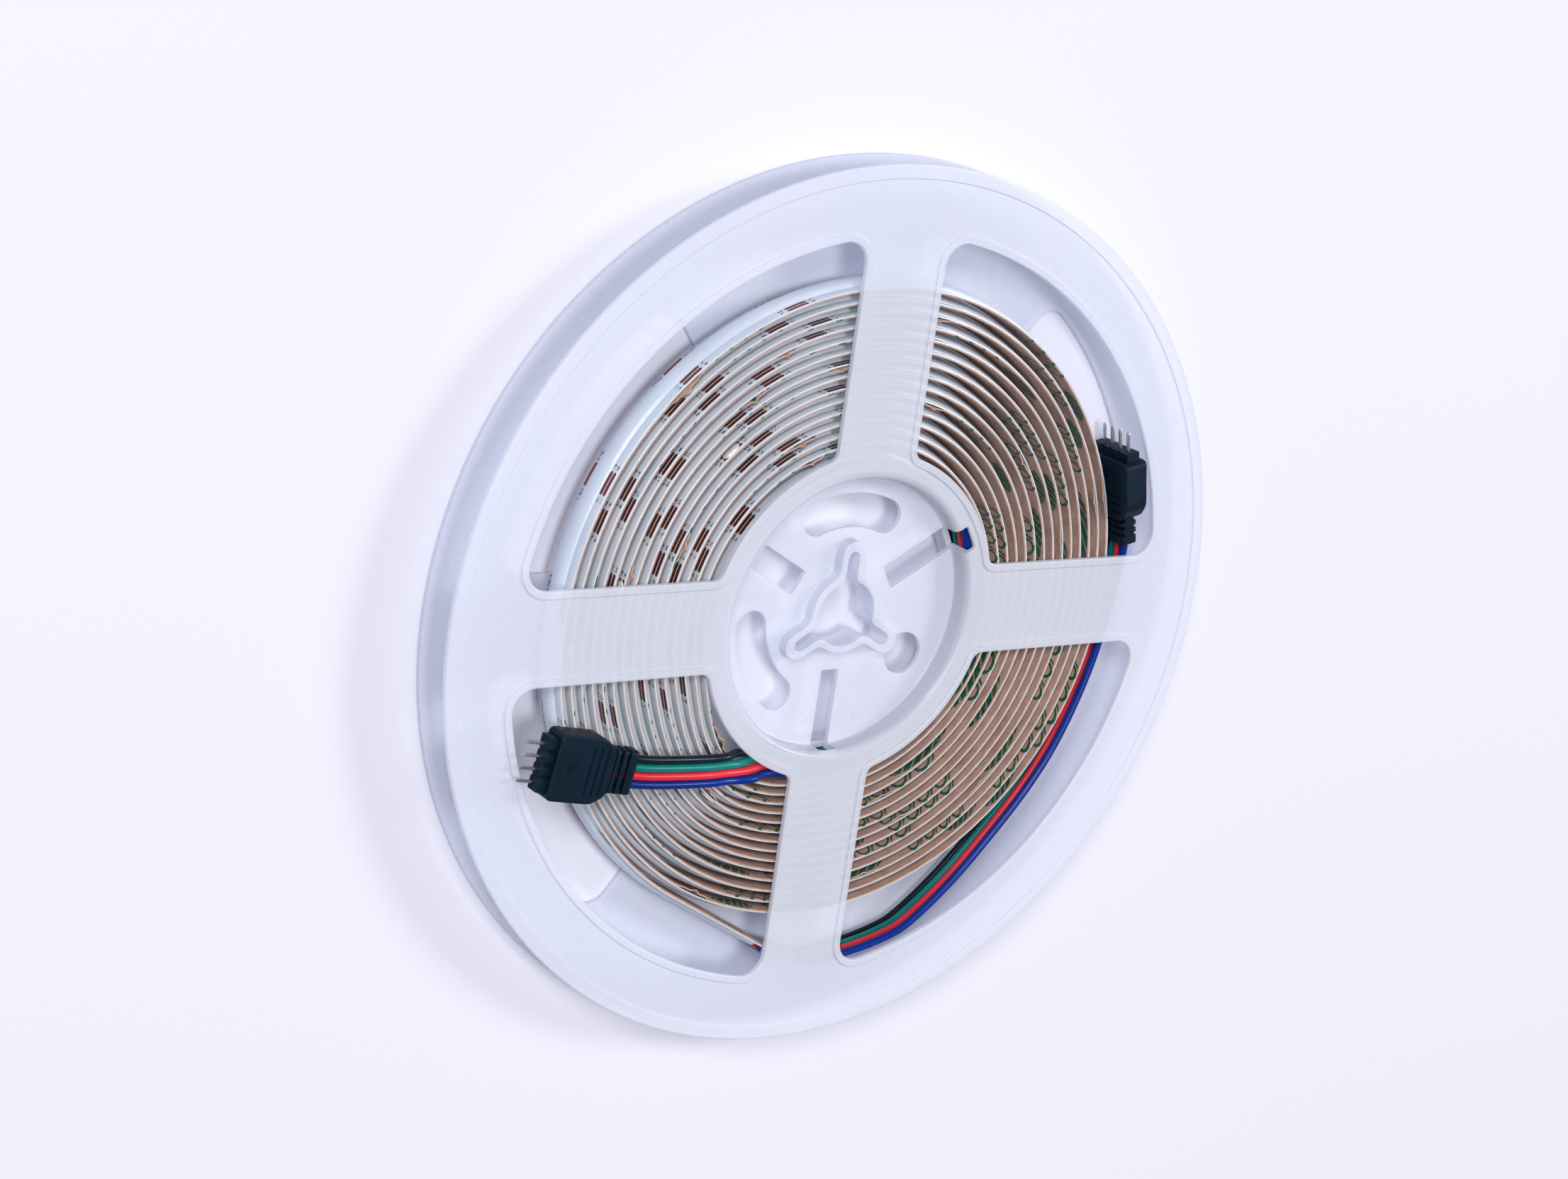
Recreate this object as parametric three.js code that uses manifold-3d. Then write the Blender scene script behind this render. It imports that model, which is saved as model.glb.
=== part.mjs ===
// A reel of four-wire colour LED strip light, wound on a translucent plastic spool.
// The spool lies flat on its rear flange: its axis is +Z and the front flange is up.
// Units are millimetres. The origin is on the axis, in the plane that the rear flange rests on.

import * as THREE from "three";
import { mergeVertices } from "three/addons/utils/BufferGeometryUtils.js";
import Module from "manifold-3d";

const wasm = await Module();
wasm.setup();

// Strip: a flexible circuit with a domed light line on its outer face and a liner on its inner face
const STRIP_WIDTH = 8;
const CIRCUIT_THICKNESS = 0.35;
const DOME_TOP = 2.2;
const DOME_HEIGHT = 1;
const LINER_THICKNESS = 0.2;
const LINER_GAP = 0.12;
const LINER_INSET = 0.05;

// Winding
const TURN_PITCH = 2.3;
const STEPS_PER_TURN = 24;
const START_ANGLE = 60;
const COIL_TO_RIM = 23.6;
const TAIL_LENGTH = 27;
const TAIL_STEPS = 2;
const WINDING_SLACK = 0.6;
const END_TUCK = 1;
const END_TUCK_ANGLE = 45;
const COIL_SETTLE_X = 0.6;
const COIL_SETTLE_Y = 0.9;
const BULGE_HEIGHT = 3.8;
const BULGE_FALL_PER_TURN = 0.4;
const BULGE_ANGLE = 237;
const BULGE_HALF_ANGLE = 42;

// Spool
const FLANGE_RADIUS = 90;
const SHEET_THICKNESS = 0.8;
const RIM_HEIGHT = 0.4;
const LIP_WIDTH = 2.7;
const FLANGE_BAND = 13.7;
const HUB_RING_WIDTH = 4.2;
const SPOKE_WIDTH = 18.8;
const WINDOW_OUTER_CORNER = 4.5;
const WINDOW_INNER_CORNER = 2.2;
const WINDOW_RIM_WIDTH = 1.6;
const REAR_WINDOW_DEGREES = 53.5;
const HUB_BORE_RADIUS = 28.2;
const HUB_WALL = 1.4;
const REAR_PLAY = 0.3;
const FRONT_PLAY = 0.5;
const SEAM_GAP = 0.3;

// Web across the middle of the hub, with the drive holes that a dispenser's spindle uses
const WEB_THICKNESS = 1.1;
const ARBOR_RADIUS = 6.7;
const ARBOR_WALL = 1.5;
const BOSS_HEIGHT = 2.6;
const KEYWAY_WIDTH = 2.6;
const KEYWAY_REACH = 12.9;
const LOBE_WALL = 1.5;
const LOBE_END_WALL = 2.3;
const KIDNEY_INNER_RADIUS = 17.2;
const KIDNEY_OUTER_RADIUS = 24.2;
const KIDNEY_DEGREES = 66;
const DRIVE_HOLE_RADIUS = 4.4;
const DRIVE_HOLE_PITCH_RADIUS = 20.2;
const SLOT_INNER_RADIUS = 12.4;
const SLOT_OUTER_RADIUS = 24.4;
const WIDE_SLOT_WIDTH = 5.4;
const NARROW_SLOT_WIDTH = 4.2;
const NARROW_SLOT_LIP = 1.8;
const KEYWAY_ANGLES = [90, 210, 330];
const KIDNEY_ANGLES = [90, 210];
const DRIVE_HOLE_ANGLE = 330;
const SHORT_SLOT_ANGLE = 150;
const WIDE_SLOT_ANGLE = 30;
const NARROW_SLOT_ANGLE = 270;

// Steps of arcs, in degrees
const DISC_STEP = 6;
const HUB_STEP = 9;
const WEB_STEP = 12;
const SMALL_STEP = 20;
const CORNER_STEP = 45;

// Leads: a ribbon of four wires at each end of the strip
const WIRE_DIAMETER = 1.5;
const WIRE_PITCH = 1.7;
const WIRE_SIDES = 6;
const CLEARANCE = 0.3;

// Sleeves shrunk over the solder joints
const SLEEVE_LENGTH = 9;
const SLEEVE_WALL = 0.3;
const SLEEVE_PLAY = 0.25;
const SLEEVE_ROUNDING = 0.9;
const SLEEVE_BUTT_GAP = 0.5;
const OUTER_SLEEVE_TURN = 9;
const INNER_SLEEVE_TURN = 8.3;

// Connectors
const PIN_SPACING = 2.54;
const PIN_SIDE = 0.64;
const PIN_EXPOSED = 4;
const PIN_SEATED = 1.2;
const HEADER_EXPOSED = 1.9;
const HEADER_SEATED = 1.1;
const HEADER_THICKNESS = 3.2;
const HEADER_NOTCH = 0.5;
const HEADER_END_WALL = 0.4;
const HOUSING_LENGTH = 13;
const HOUSING_THICKNESS = 5.4;
const HOUSING_SIDE_WALL = 1.1;
const HOUSING_BEVEL = 0.6;
const HOUSING_TAPER_LENGTH = 3;
const HOUSING_TAPER = 2;
const GROOVE_COUNT = 3;
const GROOVE_PITCH = 1.6;
const GROOVE_WIDTH = 0.5;
const GROOVE_DEPTH = 0.3;
const GROOVE_MARGIN = 1.8;
const GROOVE_START = 2;
const RIB_LENGTHS = [0.9, 0.9, 1.7];
const RIB_GAP = 0.7;
const RIB_RISE = 0.4;
const NECK_WALL = 0.45;
const WIRE_POCKET_DEPTH = 1.5;

// Where the connectors lie
const OUTER_CONNECTOR_ANGLE = 12.7;
const OUTER_CONNECTOR_ALONG = 8.8;
const OUTER_CONNECTOR_LIFT = 0.2;
const CONNECTOR_COIL_GAP = 0.7;
const INNER_CONNECTOR_ANGLE = 170;
const INNER_CONNECTOR_TO_RIM = 24.5;
const INNER_CONNECTOR_INSIDE_LEAD = 5.75;

// Heights that follow from the sizes above
const FLANGE_THICKNESS = SHEET_THICKNESS + RIM_HEIGHT;
const STRIP_BOTTOM = FLANGE_THICKNESS + REAR_PLAY;
const STRIP_TOP = STRIP_BOTTOM + STRIP_WIDTH;
const STRIP_MIDDLE = STRIP_BOTTOM + STRIP_WIDTH / 2;
const FRONT_INNER = STRIP_TOP + FRONT_PLAY;
const SPOOL_WIDTH = FRONT_INNER + FLANGE_THICKNESS;
const HUB_MIDDLE = SPOOL_WIDTH / 2;
const WEB_BOTTOM = HUB_MIDDLE - WEB_THICKNESS / 2;
const WEB_TOP = HUB_MIDDLE + WEB_THICKNESS / 2;
const UNDER_FRONT = FRONT_INNER - CLEARANCE - WIRE_DIAMETER / 2;

// Radii that follow from the sizes above
const HUB_RADIUS = HUB_BORE_RADIUS + HUB_WALL;
const RING_RADIUS = HUB_RADIUS + HUB_RING_WIDTH;
const WINDOW_OUTER_RADIUS = FLANGE_RADIUS - FLANGE_BAND;
const LEAD_HUB_RADIUS = HUB_RADIUS + CLEARANCE + WIRE_DIAMETER / 2;
const LINER_DEPTH = LINER_GAP + LINER_THICKNESS;
const COIL_START_RADIUS =
  LEAD_HUB_RADIUS + WIRE_DIAMETER / 2 + CLEARANCE + LINER_DEPTH + WINDING_SLACK;
const STRIP_DEPTH = CIRCUIT_THICKNESS + DOME_HEIGHT;

// The strip fills the spool out to its margin, and ends half a turn past its start.
const FULL_TURNS = (FLANGE_RADIUS - COIL_TO_RIM - COIL_START_RADIUS) / TURN_PITCH;
const WOUND_DEGREES = (Math.floor(FULL_TURNS - 0.5) + 0.5) * 360;
const END_ANGLE = START_ANGLE + WOUND_DEGREES;
const LAST_TURN = Math.floor(END_ANGLE / 360) * 360;

// Sizes of the leads and connectors that follow from the sizes above
const RIBBON_WIDTH = 3 * WIRE_PITCH + WIRE_DIAMETER;
const POCKET_WIDTH = RIBBON_WIDTH + 2 * CLEARANCE;
const POCKET_THICKNESS = WIRE_DIAMETER + 2 * CLEARANCE;
const WIRE_SEATED = WIRE_POCKET_DEPTH - CLEARANCE;
const HEADER_WIDTH = 4 * PIN_SPACING + 2 * HEADER_END_WALL;
const HOUSING_WIDTH = HEADER_WIDTH + 2 * HOUSING_SIDE_WALL;
const HOUSING_FRONT = HOUSING_LENGTH / 2;
const RELIEF_LENGTH = RIB_LENGTHS.reduce((sum, length) => sum + length + RIB_GAP, 0);
const CABLE_FACE = -HOUSING_FRONT - RELIEF_LENGTH;

const rad = (degrees) => (degrees * Math.PI) / 180;
const polar = (radius, degrees) =>
  new THREE.Vector2(radius * Math.cos(rad(degrees)), radius * Math.sin(rad(degrees)));

// Materials

const plastic = (color, roughness, options = {}) =>
  new THREE.MeshStandardMaterial({ color, roughness, metalness: 0, ...options });
const spoolPlastic = plastic(0xe6eaf8, 0.35, { transparent: true, opacity: 0.75 });
const stripWhite = plastic(0xf4f4f2, 0.3);
const linerPaper = plastic(0xb9917a, 0.6);
const sleeveFilm = plastic(0xe8ecf0, 0.2, { transparent: true, opacity: 0.6 });
const connectorBlack = plastic(0x12283a, 0.45);
const pinMetal = new THREE.MeshStandardMaterial({ color: 0xc9ccd0, roughness: 0.25, metalness: 1 });
const WIRES = [
  { name: "blue", material: plastic(0x1440b0, 0.4) },
  { name: "red", material: plastic(0xe8404e, 0.4) },
  { name: "green", material: plastic(0x168a86, 0.4) },
  { name: "black", material: plastic(0x0e2430, 0.4) },
];

// Solids

function toSolid(geometry) {
  const bare = geometry.clone();
  bare.deleteAttribute("normal");
  bare.deleteAttribute("uv");
  const merged = mergeVertices(bare, 1e-4);
  return new wasm.Manifold(
    new wasm.Mesh({
      numProp: 3,
      vertProperties: merged.attributes.position.array,
      triVerts: new Uint32Array(merged.index.array),
    }),
  );
}

function toGeometry(solid) {
  const mesh = solid.getMesh();
  const geometry = new THREE.BufferGeometry();
  geometry.setAttribute("position", new THREE.BufferAttribute(mesh.vertProperties, 3));
  geometry.setIndex(new THREE.BufferAttribute(mesh.triVerts, 1));
  geometry.computeVertexNormals();
  return geometry;
}

const union = (solids) => solids.reduce((whole, next) => whole.add(next));

// A flat plate from an outline of points, with holes, whose faces lie exactly at two heights.
function plate(outline, bottom, top, holes = []) {
  const shape = new THREE.Shape(outline);
  for (const hole of holes) shape.holes.push(new THREE.Path(hole));
  const geometry = new THREE.ExtrudeGeometry(shape, { depth: 1, bevelEnabled: false });
  const position = geometry.attributes.position;
  for (let i = 0; i < position.count; i++) position.setZ(i, position.getZ(i) > 0 ? top : bottom);
  return toSolid(geometry);
}

// A box from its centre and size, turned about the Z axis.
function block(center, size, degrees = 0) {
  const geometry = new THREE.BoxGeometry(...size);
  geometry.translate(...center);
  return toSolid(geometry.rotateZ(rad(degrees)));
}

// Outlines

function arc(center, radius, from, to, stepDegrees) {
  const steps = Math.max(1, Math.ceil(Math.abs(to - from) / stepDegrees));
  const points = [];
  for (let i = 0; i <= steps; i++) {
    points.push(polar(radius, from + ((to - from) * i) / steps).add(center));
  }
  return points;
}

const AXIS = new THREE.Vector2(0, 0);
const circle = (radius, stepDegrees, center = AXIS) =>
  arc(center, radius, 0, 360 - stepDegrees, stepDegrees);

// A slot with round ends between two points.
function capsule(from, to, radius, stepDegrees) {
  const along = (Math.atan2(to.y - from.y, to.x - from.x) * 180) / Math.PI;
  return [
    ...arc(to, radius, along - 90, along + 90, stepDegrees),
    ...arc(from, radius, along + 90, along + 270, stepDegrees),
  ];
}

// A slot that bends round the axis, with round ends.
function kidney(inner, outer, middle, span) {
  const radius = (outer - inner) / 2;
  const centerRadius = inner + radius;
  const half = span / 2 - (radius / centerRadius) * (180 / Math.PI);
  const low = middle - half;
  const high = middle + half;
  return [
    ...arc(AXIS, outer, low, high, WEB_STEP),
    ...arc(polar(centerRadius, high), radius, high, high + 180, CORNER_STEP).slice(1, -1),
    ...arc(AXIS, inner, high, low, WEB_STEP),
    ...arc(polar(centerRadius, low), radius, low + 180, low + 360, CORNER_STEP).slice(1, -1),
  ];
}

// One window of a flange, from the spoke along +X round to a straight side at an angle. That side lies
// an inset short of the line from the axis. A positive grow gives the outline of the raised rim.
function windowOutline(grow, farDegrees, farInset) {
  const nearSide = SPOKE_WIDTH / 2 - grow;
  const farSide = farInset - grow;
  const outer = WINDOW_OUTER_RADIUS + grow;
  const inner = RING_RADIUS - grow;
  const outerCorner = WINDOW_OUTER_CORNER + grow;
  const innerCorner = WINDOW_INNER_CORNER + grow;
  const outerMiddle = outer - outerCorner;
  const innerMiddle = inner + innerCorner;
  const cornerTurn = (radius, across) => (Math.asin(across / radius) * 180) / Math.PI;
  const nearOuter = cornerTurn(outerMiddle, nearSide + outerCorner);
  const farOuter = farDegrees - cornerTurn(outerMiddle, farSide + outerCorner);
  const nearInner = cornerTurn(innerMiddle, nearSide + innerCorner);
  const farInner = farDegrees - cornerTurn(innerMiddle, farSide + innerCorner);
  const across = farDegrees + 90;
  return [
    ...arc(polar(outerMiddle, nearOuter), outerCorner, -90, nearOuter, CORNER_STEP),
    ...arc(AXIS, outer, nearOuter, farOuter, DISC_STEP).slice(1, -1),
    ...arc(polar(outerMiddle, farOuter), outerCorner, farOuter, across, CORNER_STEP),
    ...arc(polar(innerMiddle, farInner), innerCorner, across, farInner + 180, CORNER_STEP),
    ...arc(AXIS, inner, farInner, nearInner, HUB_STEP).slice(1, -1),
    ...arc(polar(innerMiddle, nearInner), innerCorner, 180 + nearInner, 270, CORNER_STEP),
  ];
}

const turned = (outline, degrees) => outline.map((p) => p.clone().rotateAround(AXIS, rad(degrees)));
const mirrored = (outline) => outline.map((p) => new THREE.Vector2(-p.x, p.y)).reverse();

// The front flange has four equal windows between its spokes.
function frontWindows(grow) {
  const outline = windowOutline(grow, 90, SPOKE_WIDTH / 2);
  return [0, 90, 180, 270].map((degrees) => turned(outline, degrees));
}

// The rear flange's windows end well before its Y axis, which leaves two broad plain fields.
function rearWindows(grow) {
  const outline = windowOutline(grow, REAR_WINDOW_DEGREES, 0);
  return [outline, mirrored(outline)].flatMap((each) => [each, turned(each, 180)]);
}

// Spool

// A flange lies between its inner face and the top of its rims. The outward direction is up or down.
function flange(innerHeight, outward, windows) {
  const layer = (outline, from, to, holes) => {
    const heights = [innerHeight + outward * from, innerHeight + outward * to];
    return plate(outline, Math.min(...heights), Math.max(...heights), holes);
  };
  const openings = windows(0);
  const disc = circle(FLANGE_RADIUS, DISC_STEP);
  const sheet = layer(disc, 0, SHEET_THICKNESS, [...openings, circle(HUB_BORE_RADIUS, HUB_STEP)]);
  const lip = layer(disc, 0, FLANGE_THICKNESS, [circle(FLANGE_RADIUS - LIP_WIDTH, DISC_STEP)]);
  const rims = windows(WINDOW_RIM_WIDTH).map((outline, i) =>
    layer(outline, 0, FLANGE_THICKNESS, [openings[i]]),
  );
  return union([sheet, lip, ...rims]);
}

const hubWall = (bottom, top) =>
  plate(circle(HUB_RADIUS, HUB_STEP), bottom, top, [circle(HUB_BORE_RADIUS, HUB_STEP)]);

const lobe = (degrees, reach, width) =>
  capsule(polar(0, degrees), polar(reach - width / 2, degrees), width / 2, CORNER_STEP);

// A straight slot that runs outwards from the middle of the web, up to a height.
function slot(degrees, width, outer, top) {
  const bottom = WEB_BOTTOM - WEB_THICKNESS;
  const size = [outer - SLOT_INNER_RADIUS, width, top - bottom];
  return block([(SLOT_INNER_RADIUS + outer) / 2, 0, (bottom + top) / 2], size, degrees);
}

// The web has a drive hole with keyways, kidneys, a round hole and slots, some cut into the wall.
function web() {
  const bossBottom = WEB_BOTTOM - BOSS_HEIGHT;
  const bossTop = WEB_TOP + BOSS_HEIGHT;
  const through = [bossBottom - 1, bossTop + 1];
  const lobeWidth = KEYWAY_WIDTH + 2 * LOBE_WALL;
  const lobeReach = KEYWAY_REACH + LOBE_END_WALL;
  const boss = [
    plate(circle(ARBOR_RADIUS + ARBOR_WALL, WEB_STEP), bossBottom, bossTop),
    ...KEYWAY_ANGLES.map((k) => plate(lobe(k, lobeReach, lobeWidth), bossBottom, bossTop)),
  ];
  const sheet = plate(circle(HUB_BORE_RADIUS + HUB_WALL / 2, HUB_STEP), WEB_BOTTOM, WEB_TOP);
  const driveHoleCenter = polar(DRIVE_HOLE_PITCH_RADIUS, DRIVE_HOLE_ANGLE);
  const outlines = [
    circle(ARBOR_RADIUS, WEB_STEP),
    ...KEYWAY_ANGLES.map((k) => lobe(k, KEYWAY_REACH, KEYWAY_WIDTH)),
    ...KIDNEY_ANGLES.map((k) =>
      kidney(KIDNEY_INNER_RADIUS, KIDNEY_OUTER_RADIUS, k, KIDNEY_DEGREES),
    ),
    circle(DRIVE_HOLE_RADIUS, SMALL_STEP, driveHoleCenter),
  ];
  const cuts = outlines.map((outline) => plate(outline, ...through));
  return union([sheet, ...boss]).subtract(union(cuts));
}

function frontHalf() {
  const wall = hubWall(WEB_BOTTOM, FRONT_INNER + SHEET_THICKNESS);
  const pastWall = HUB_RADIUS + HUB_WALL;
  const pastFront = SPOOL_WIDTH + 1;
  const slots = [
    slot(SHORT_SLOT_ANGLE, WIDE_SLOT_WIDTH, SLOT_OUTER_RADIUS, pastFront),
    slot(WIDE_SLOT_ANGLE, WIDE_SLOT_WIDTH, pastWall, pastFront),
    slot(NARROW_SLOT_ANGLE, NARROW_SLOT_WIDTH, pastWall, SPOOL_WIDTH - NARROW_SLOT_LIP),
  ];
  return union([flange(FRONT_INNER, 1, frontWindows), wall, web()]).subtract(union(slots));
}

function rearHalf() {
  const wall = hubWall(RIM_HEIGHT, WEB_BOTTOM - SEAM_GAP);
  return union([flange(FLANGE_THICKNESS, -1, rearWindows), wall]);
}

// Strip and liner

// How far the first turns stand out where the inner lead climbs past them.
function bulge(degrees) {
  const turn = Math.floor((degrees - START_ANGLE) / 360);
  const height = Math.max(0, BULGE_HEIGHT - BULGE_FALL_PER_TURN * turn);
  const off = (((degrees - BULGE_ANGLE) % 360) + 540) % 360 - 180;
  const share = Math.min(1, Math.abs(off) / BULGE_HALF_ANGLE);
  return height * Math.cos((share * Math.PI) / 2) ** 2;
}

// A place on the circuit's inner face, at an angle counted from the inner end.
function coilStation(degrees) {
  const wound = (degrees - START_ANGLE) / WOUND_DEGREES;
  const turns = (degrees - START_ANGLE) / 360;
  const untucked = Math.min(1, (degrees - START_ANGLE) / END_TUCK_ANGLE);
  const tuck = END_TUCK * Math.cos((untucked * Math.PI) / 2) ** 2;
  const radius = COIL_START_RADIUS + TURN_PITCH * turns + bulge(degrees) - tuck;
  const place = polar(radius, degrees);
  place.x += COIL_SETTLE_X * wound;
  place.y += COIL_SETTLE_Y * wound;
  return { place, normal: polar(1, degrees) };
}

// The wound part follows the spiral, and the outer end leaves it along its tangent.
function stripPath() {
  const stations = [];
  const steps = (WOUND_DEGREES * STEPS_PER_TURN) / 360;
  for (let i = 0; i <= steps; i++) {
    stations.push(coilStation(START_ANGLE + (360 / STEPS_PER_TURN) * i));
  }
  const last = stations[stations.length - 1];
  const along = polar(1, END_ANGLE + 90);
  for (let i = 1; i <= TAIL_STEPS; i++) {
    const place = last.place.clone().addScaledVector(along, (TAIL_LENGTH * i) / TAIL_STEPS);
    stations.push({ place, normal: last.normal });
  }
  return stations;
}

// A band with a convex section, whose points are [distance outwards, height].
function band(stations, section) {
  const count = section.length;
  const positions = [];
  for (const { place, normal } of stations) {
    for (const [outwards, height] of section) {
      positions.push(place.x + normal.x * outwards, place.y + normal.y * outwards, height);
    }
  }
  const index = [];
  for (let s = 0; s < stations.length - 1; s++) {
    for (let i = 0; i < count; i++) {
      const a = s * count + i;
      const b = s * count + ((i + 1) % count);
      index.push(a, b + count, b, a, a + count, b + count);
    }
  }
  const end = (stations.length - 1) * count;
  for (let i = 1; i < count - 1; i++) {
    index.push(0, i, i + 1, end, end + i + 1, end + i);
  }
  const geometry = new THREE.BufferGeometry();
  geometry.setAttribute("position", new THREE.Float32BufferAttribute(positions, 3));
  geometry.setIndex(index);
  geometry.computeVertexNormals();
  return geometry;
}

const STRIP_SECTION = [
  [0, STRIP_BOTTOM],
  [CIRCUIT_THICKNESS, STRIP_BOTTOM],
  [STRIP_DEPTH, STRIP_MIDDLE - DOME_TOP / 2],
  [STRIP_DEPTH, STRIP_MIDDLE + DOME_TOP / 2],
  [CIRCUIT_THICKNESS, STRIP_TOP],
  [0, STRIP_TOP],
];
const LINER_SECTION = [
  [-LINER_DEPTH, STRIP_BOTTOM + LINER_INSET],
  [-LINER_GAP, STRIP_BOTTOM + LINER_INSET],
  [-LINER_GAP, STRIP_TOP - LINER_INSET],
  [-LINER_DEPTH, STRIP_TOP - LINER_INSET],
];

// Leads

// The wires of a ribbon lie side by side. At a twist of 90 degrees they are stacked along Z with
// the first wire in front, and at 0 they lie flat with the last wire on the side of the across vector.
function ribbonWire(stations, order) {
  const offset = (order - (WIRES.length - 1) / 2) * WIRE_PITCH;
  const points = stations.map(({ place, across, height, twist, limit }) => {
    const flat = offset * Math.cos(rad(twist));
    const drop = offset * Math.sin(rad(twist));
    const x = place.x + across.x * flat;
    const y = place.y + across.y * flat;
    return new THREE.Vector3(x, y, Math.min(height - drop, limit(Math.hypot(x, y))));
  });
  const curve = new THREE.CatmullRomCurve3(points, false, "centripetal");
  const steps = Math.round(curve.getLength() / (2.4 * WIRE_DIAMETER));
  const section = new THREE.Shape(circle(WIRE_DIAMETER / 2, 360 / WIRE_SIDES));
  return new THREE.ExtrudeGeometry(section, { steps, extrudePath: curve, curveSegments: 1 });
}

// A flat sleeve open at both ends, with its length along X.
function sleeveGeometry() {
  const innerHalfHeight = RIBBON_WIDTH / 2 + SLEEVE_PLAY;
  const innerHalfDepth = WIRE_DIAMETER / 2 + SLEEVE_PLAY;
  const rounded = (halfHeight, halfDepth, radius) => {
    const x = halfHeight - radius;
    const y = halfDepth - radius;
    const corners = [[x, y, 0], [-x, y, 90], [-x, -y, 180], [x, -y, 270]];
    return corners.flatMap(([cx, cy, from]) =>
      arc(new THREE.Vector2(cx, cy), radius, from, from + 90, CORNER_STEP),
    );
  };
  const inner = rounded(innerHalfHeight, innerHalfDepth, SLEEVE_ROUNDING - SLEEVE_WALL);
  const outer = rounded(innerHalfHeight + SLEEVE_WALL, innerHalfDepth + SLEEVE_WALL, SLEEVE_ROUNDING);
  const shape = new THREE.Shape(outer);
  shape.holes.push(new THREE.Path(inner));
  const geometry = new THREE.ExtrudeGeometry(shape, { depth: SLEEVE_LENGTH, bevelEnabled: false });
  return geometry.rotateY(Math.PI / 2);
}

// Connectors, each with its pins along +X, its width along Y and its thickness along Z

function housing() {
  const half = HOUSING_WIDTH / 2 - HOUSING_BEVEL;
  const front = HOUSING_FRONT - HOUSING_BEVEL;
  const outline = [
    [front, -half],
    [front, half],
    [-front + HOUSING_TAPER_LENGTH, half],
    [-front, half - HOUSING_TAPER],
    [-front, -half + HOUSING_TAPER],
    [-front + HOUSING_TAPER_LENGTH, -half],
  ].map(([x, y]) => new THREE.Vector2(x, y));
  const body = new THREE.ExtrudeGeometry(new THREE.Shape(outline), {
    depth: HOUSING_THICKNESS - 2 * HOUSING_BEVEL,
    bevelSize: HOUSING_BEVEL,
    bevelThickness: HOUSING_BEVEL,
    bevelSegments: 2,
  }).translate(0, 0, HOUSING_BEVEL - HOUSING_THICKNESS / 2);
  const solids = [toSolid(body)];
  const neckWidth = POCKET_WIDTH + 2 * NECK_WALL;
  const neckThickness = POCKET_THICKNESS + 2 * NECK_WALL;
  let x = -HOUSING_FRONT;
  for (const length of RIB_LENGTHS) {
    const neck = [RIB_GAP + 2 * HOUSING_BEVEL, neckWidth, neckThickness];
    solids.push(block([x - RIB_GAP / 2 + HOUSING_BEVEL / 2, 0, 0], neck));
    x -= RIB_GAP + length;
    const rib = [length, neckWidth + 2 * RIB_RISE, neckThickness + 2 * RIB_RISE];
    solids.push(block([x + length / 2, 0, 0], rib));
  }
  const cuts = [];
  for (let i = 0; i < GROOVE_COUNT; i++) {
    const at = -HOUSING_FRONT + GROOVE_START + GROOVE_PITCH * i;
    const size = [GROOVE_WIDTH, HOUSING_WIDTH - 2 * GROOVE_MARGIN, 2 * GROOVE_DEPTH];
    cuts.push(block([at, 0, HOUSING_THICKNESS / 2], size));
    cuts.push(block([at, 0, -HOUSING_THICKNESS / 2], size));
  }
  const headerPocket = [
    2 * (HEADER_SEATED + CLEARANCE),
    HEADER_WIDTH + CLEARANCE,
    HEADER_THICKNESS + CLEARANCE,
  ];
  cuts.push(block([HOUSING_FRONT, 0, 0], headerPocket));
  const wirePocket = [2 * WIRE_POCKET_DEPTH, POCKET_WIDTH, POCKET_THICKNESS];
  cuts.push(block([CABLE_FACE, 0, 0], wirePocket));
  return toGeometry(union(solids).subtract(union(cuts)));
}

const pinPlace = (order) => (order - (WIRES.length - 1) / 2) * PIN_SPACING;

// A row of four cells with notches between them and a blind hole for each pin.
function header() {
  const length = HEADER_EXPOSED + HEADER_SEATED;
  const middle = HOUSING_FRONT - HEADER_SEATED + length / 2;
  const bar = block([middle, 0, 0], [length, HEADER_WIDTH, HEADER_THICKNESS]);
  const cuts = [];
  for (const order of [0, 1, 2]) {
    for (const side of [1, -1]) {
      const notch = new THREE.CylinderGeometry(HEADER_NOTCH, HEADER_NOTCH, length + 1, 4);
      notch.rotateZ(Math.PI / 2);
      const y = pinPlace(order) + PIN_SPACING / 2;
      cuts.push(toSolid(notch.translate(middle, y, (side * HEADER_THICKNESS) / 2)));
    }
  }
  for (const order of WIRES.keys()) {
    const hole = [2 * (PIN_SEATED + CLEARANCE), PIN_SIDE + CLEARANCE, PIN_SIDE + CLEARANCE];
    cuts.push(block([HOUSING_FRONT + HEADER_EXPOSED, pinPlace(order), 0], hole));
  }
  return toGeometry(bar.subtract(union(cuts)));
}

function pin(order) {
  const length = PIN_EXPOSED + PIN_SEATED;
  const geometry = new THREE.CylinderGeometry(0.5, 0.5, length, 4, 1);
  geometry.rotateY(Math.PI / 4).scale(PIN_SIDE * Math.SQRT2, 1, PIN_SIDE * Math.SQRT2);
  geometry.rotateZ(-Math.PI / 2);
  const middle = HOUSING_FRONT + HEADER_EXPOSED - PIN_SEATED + length / 2;
  return geometry.translate(middle, pinPlace(order), 0);
}

// Assembly

const reel = new THREE.Group();

function addPart(group, name, geometry, material) {
  const mesh = new THREE.Mesh(geometry, material);
  mesh.name = name;
  group.add(mesh);
  return mesh;
}

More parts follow.
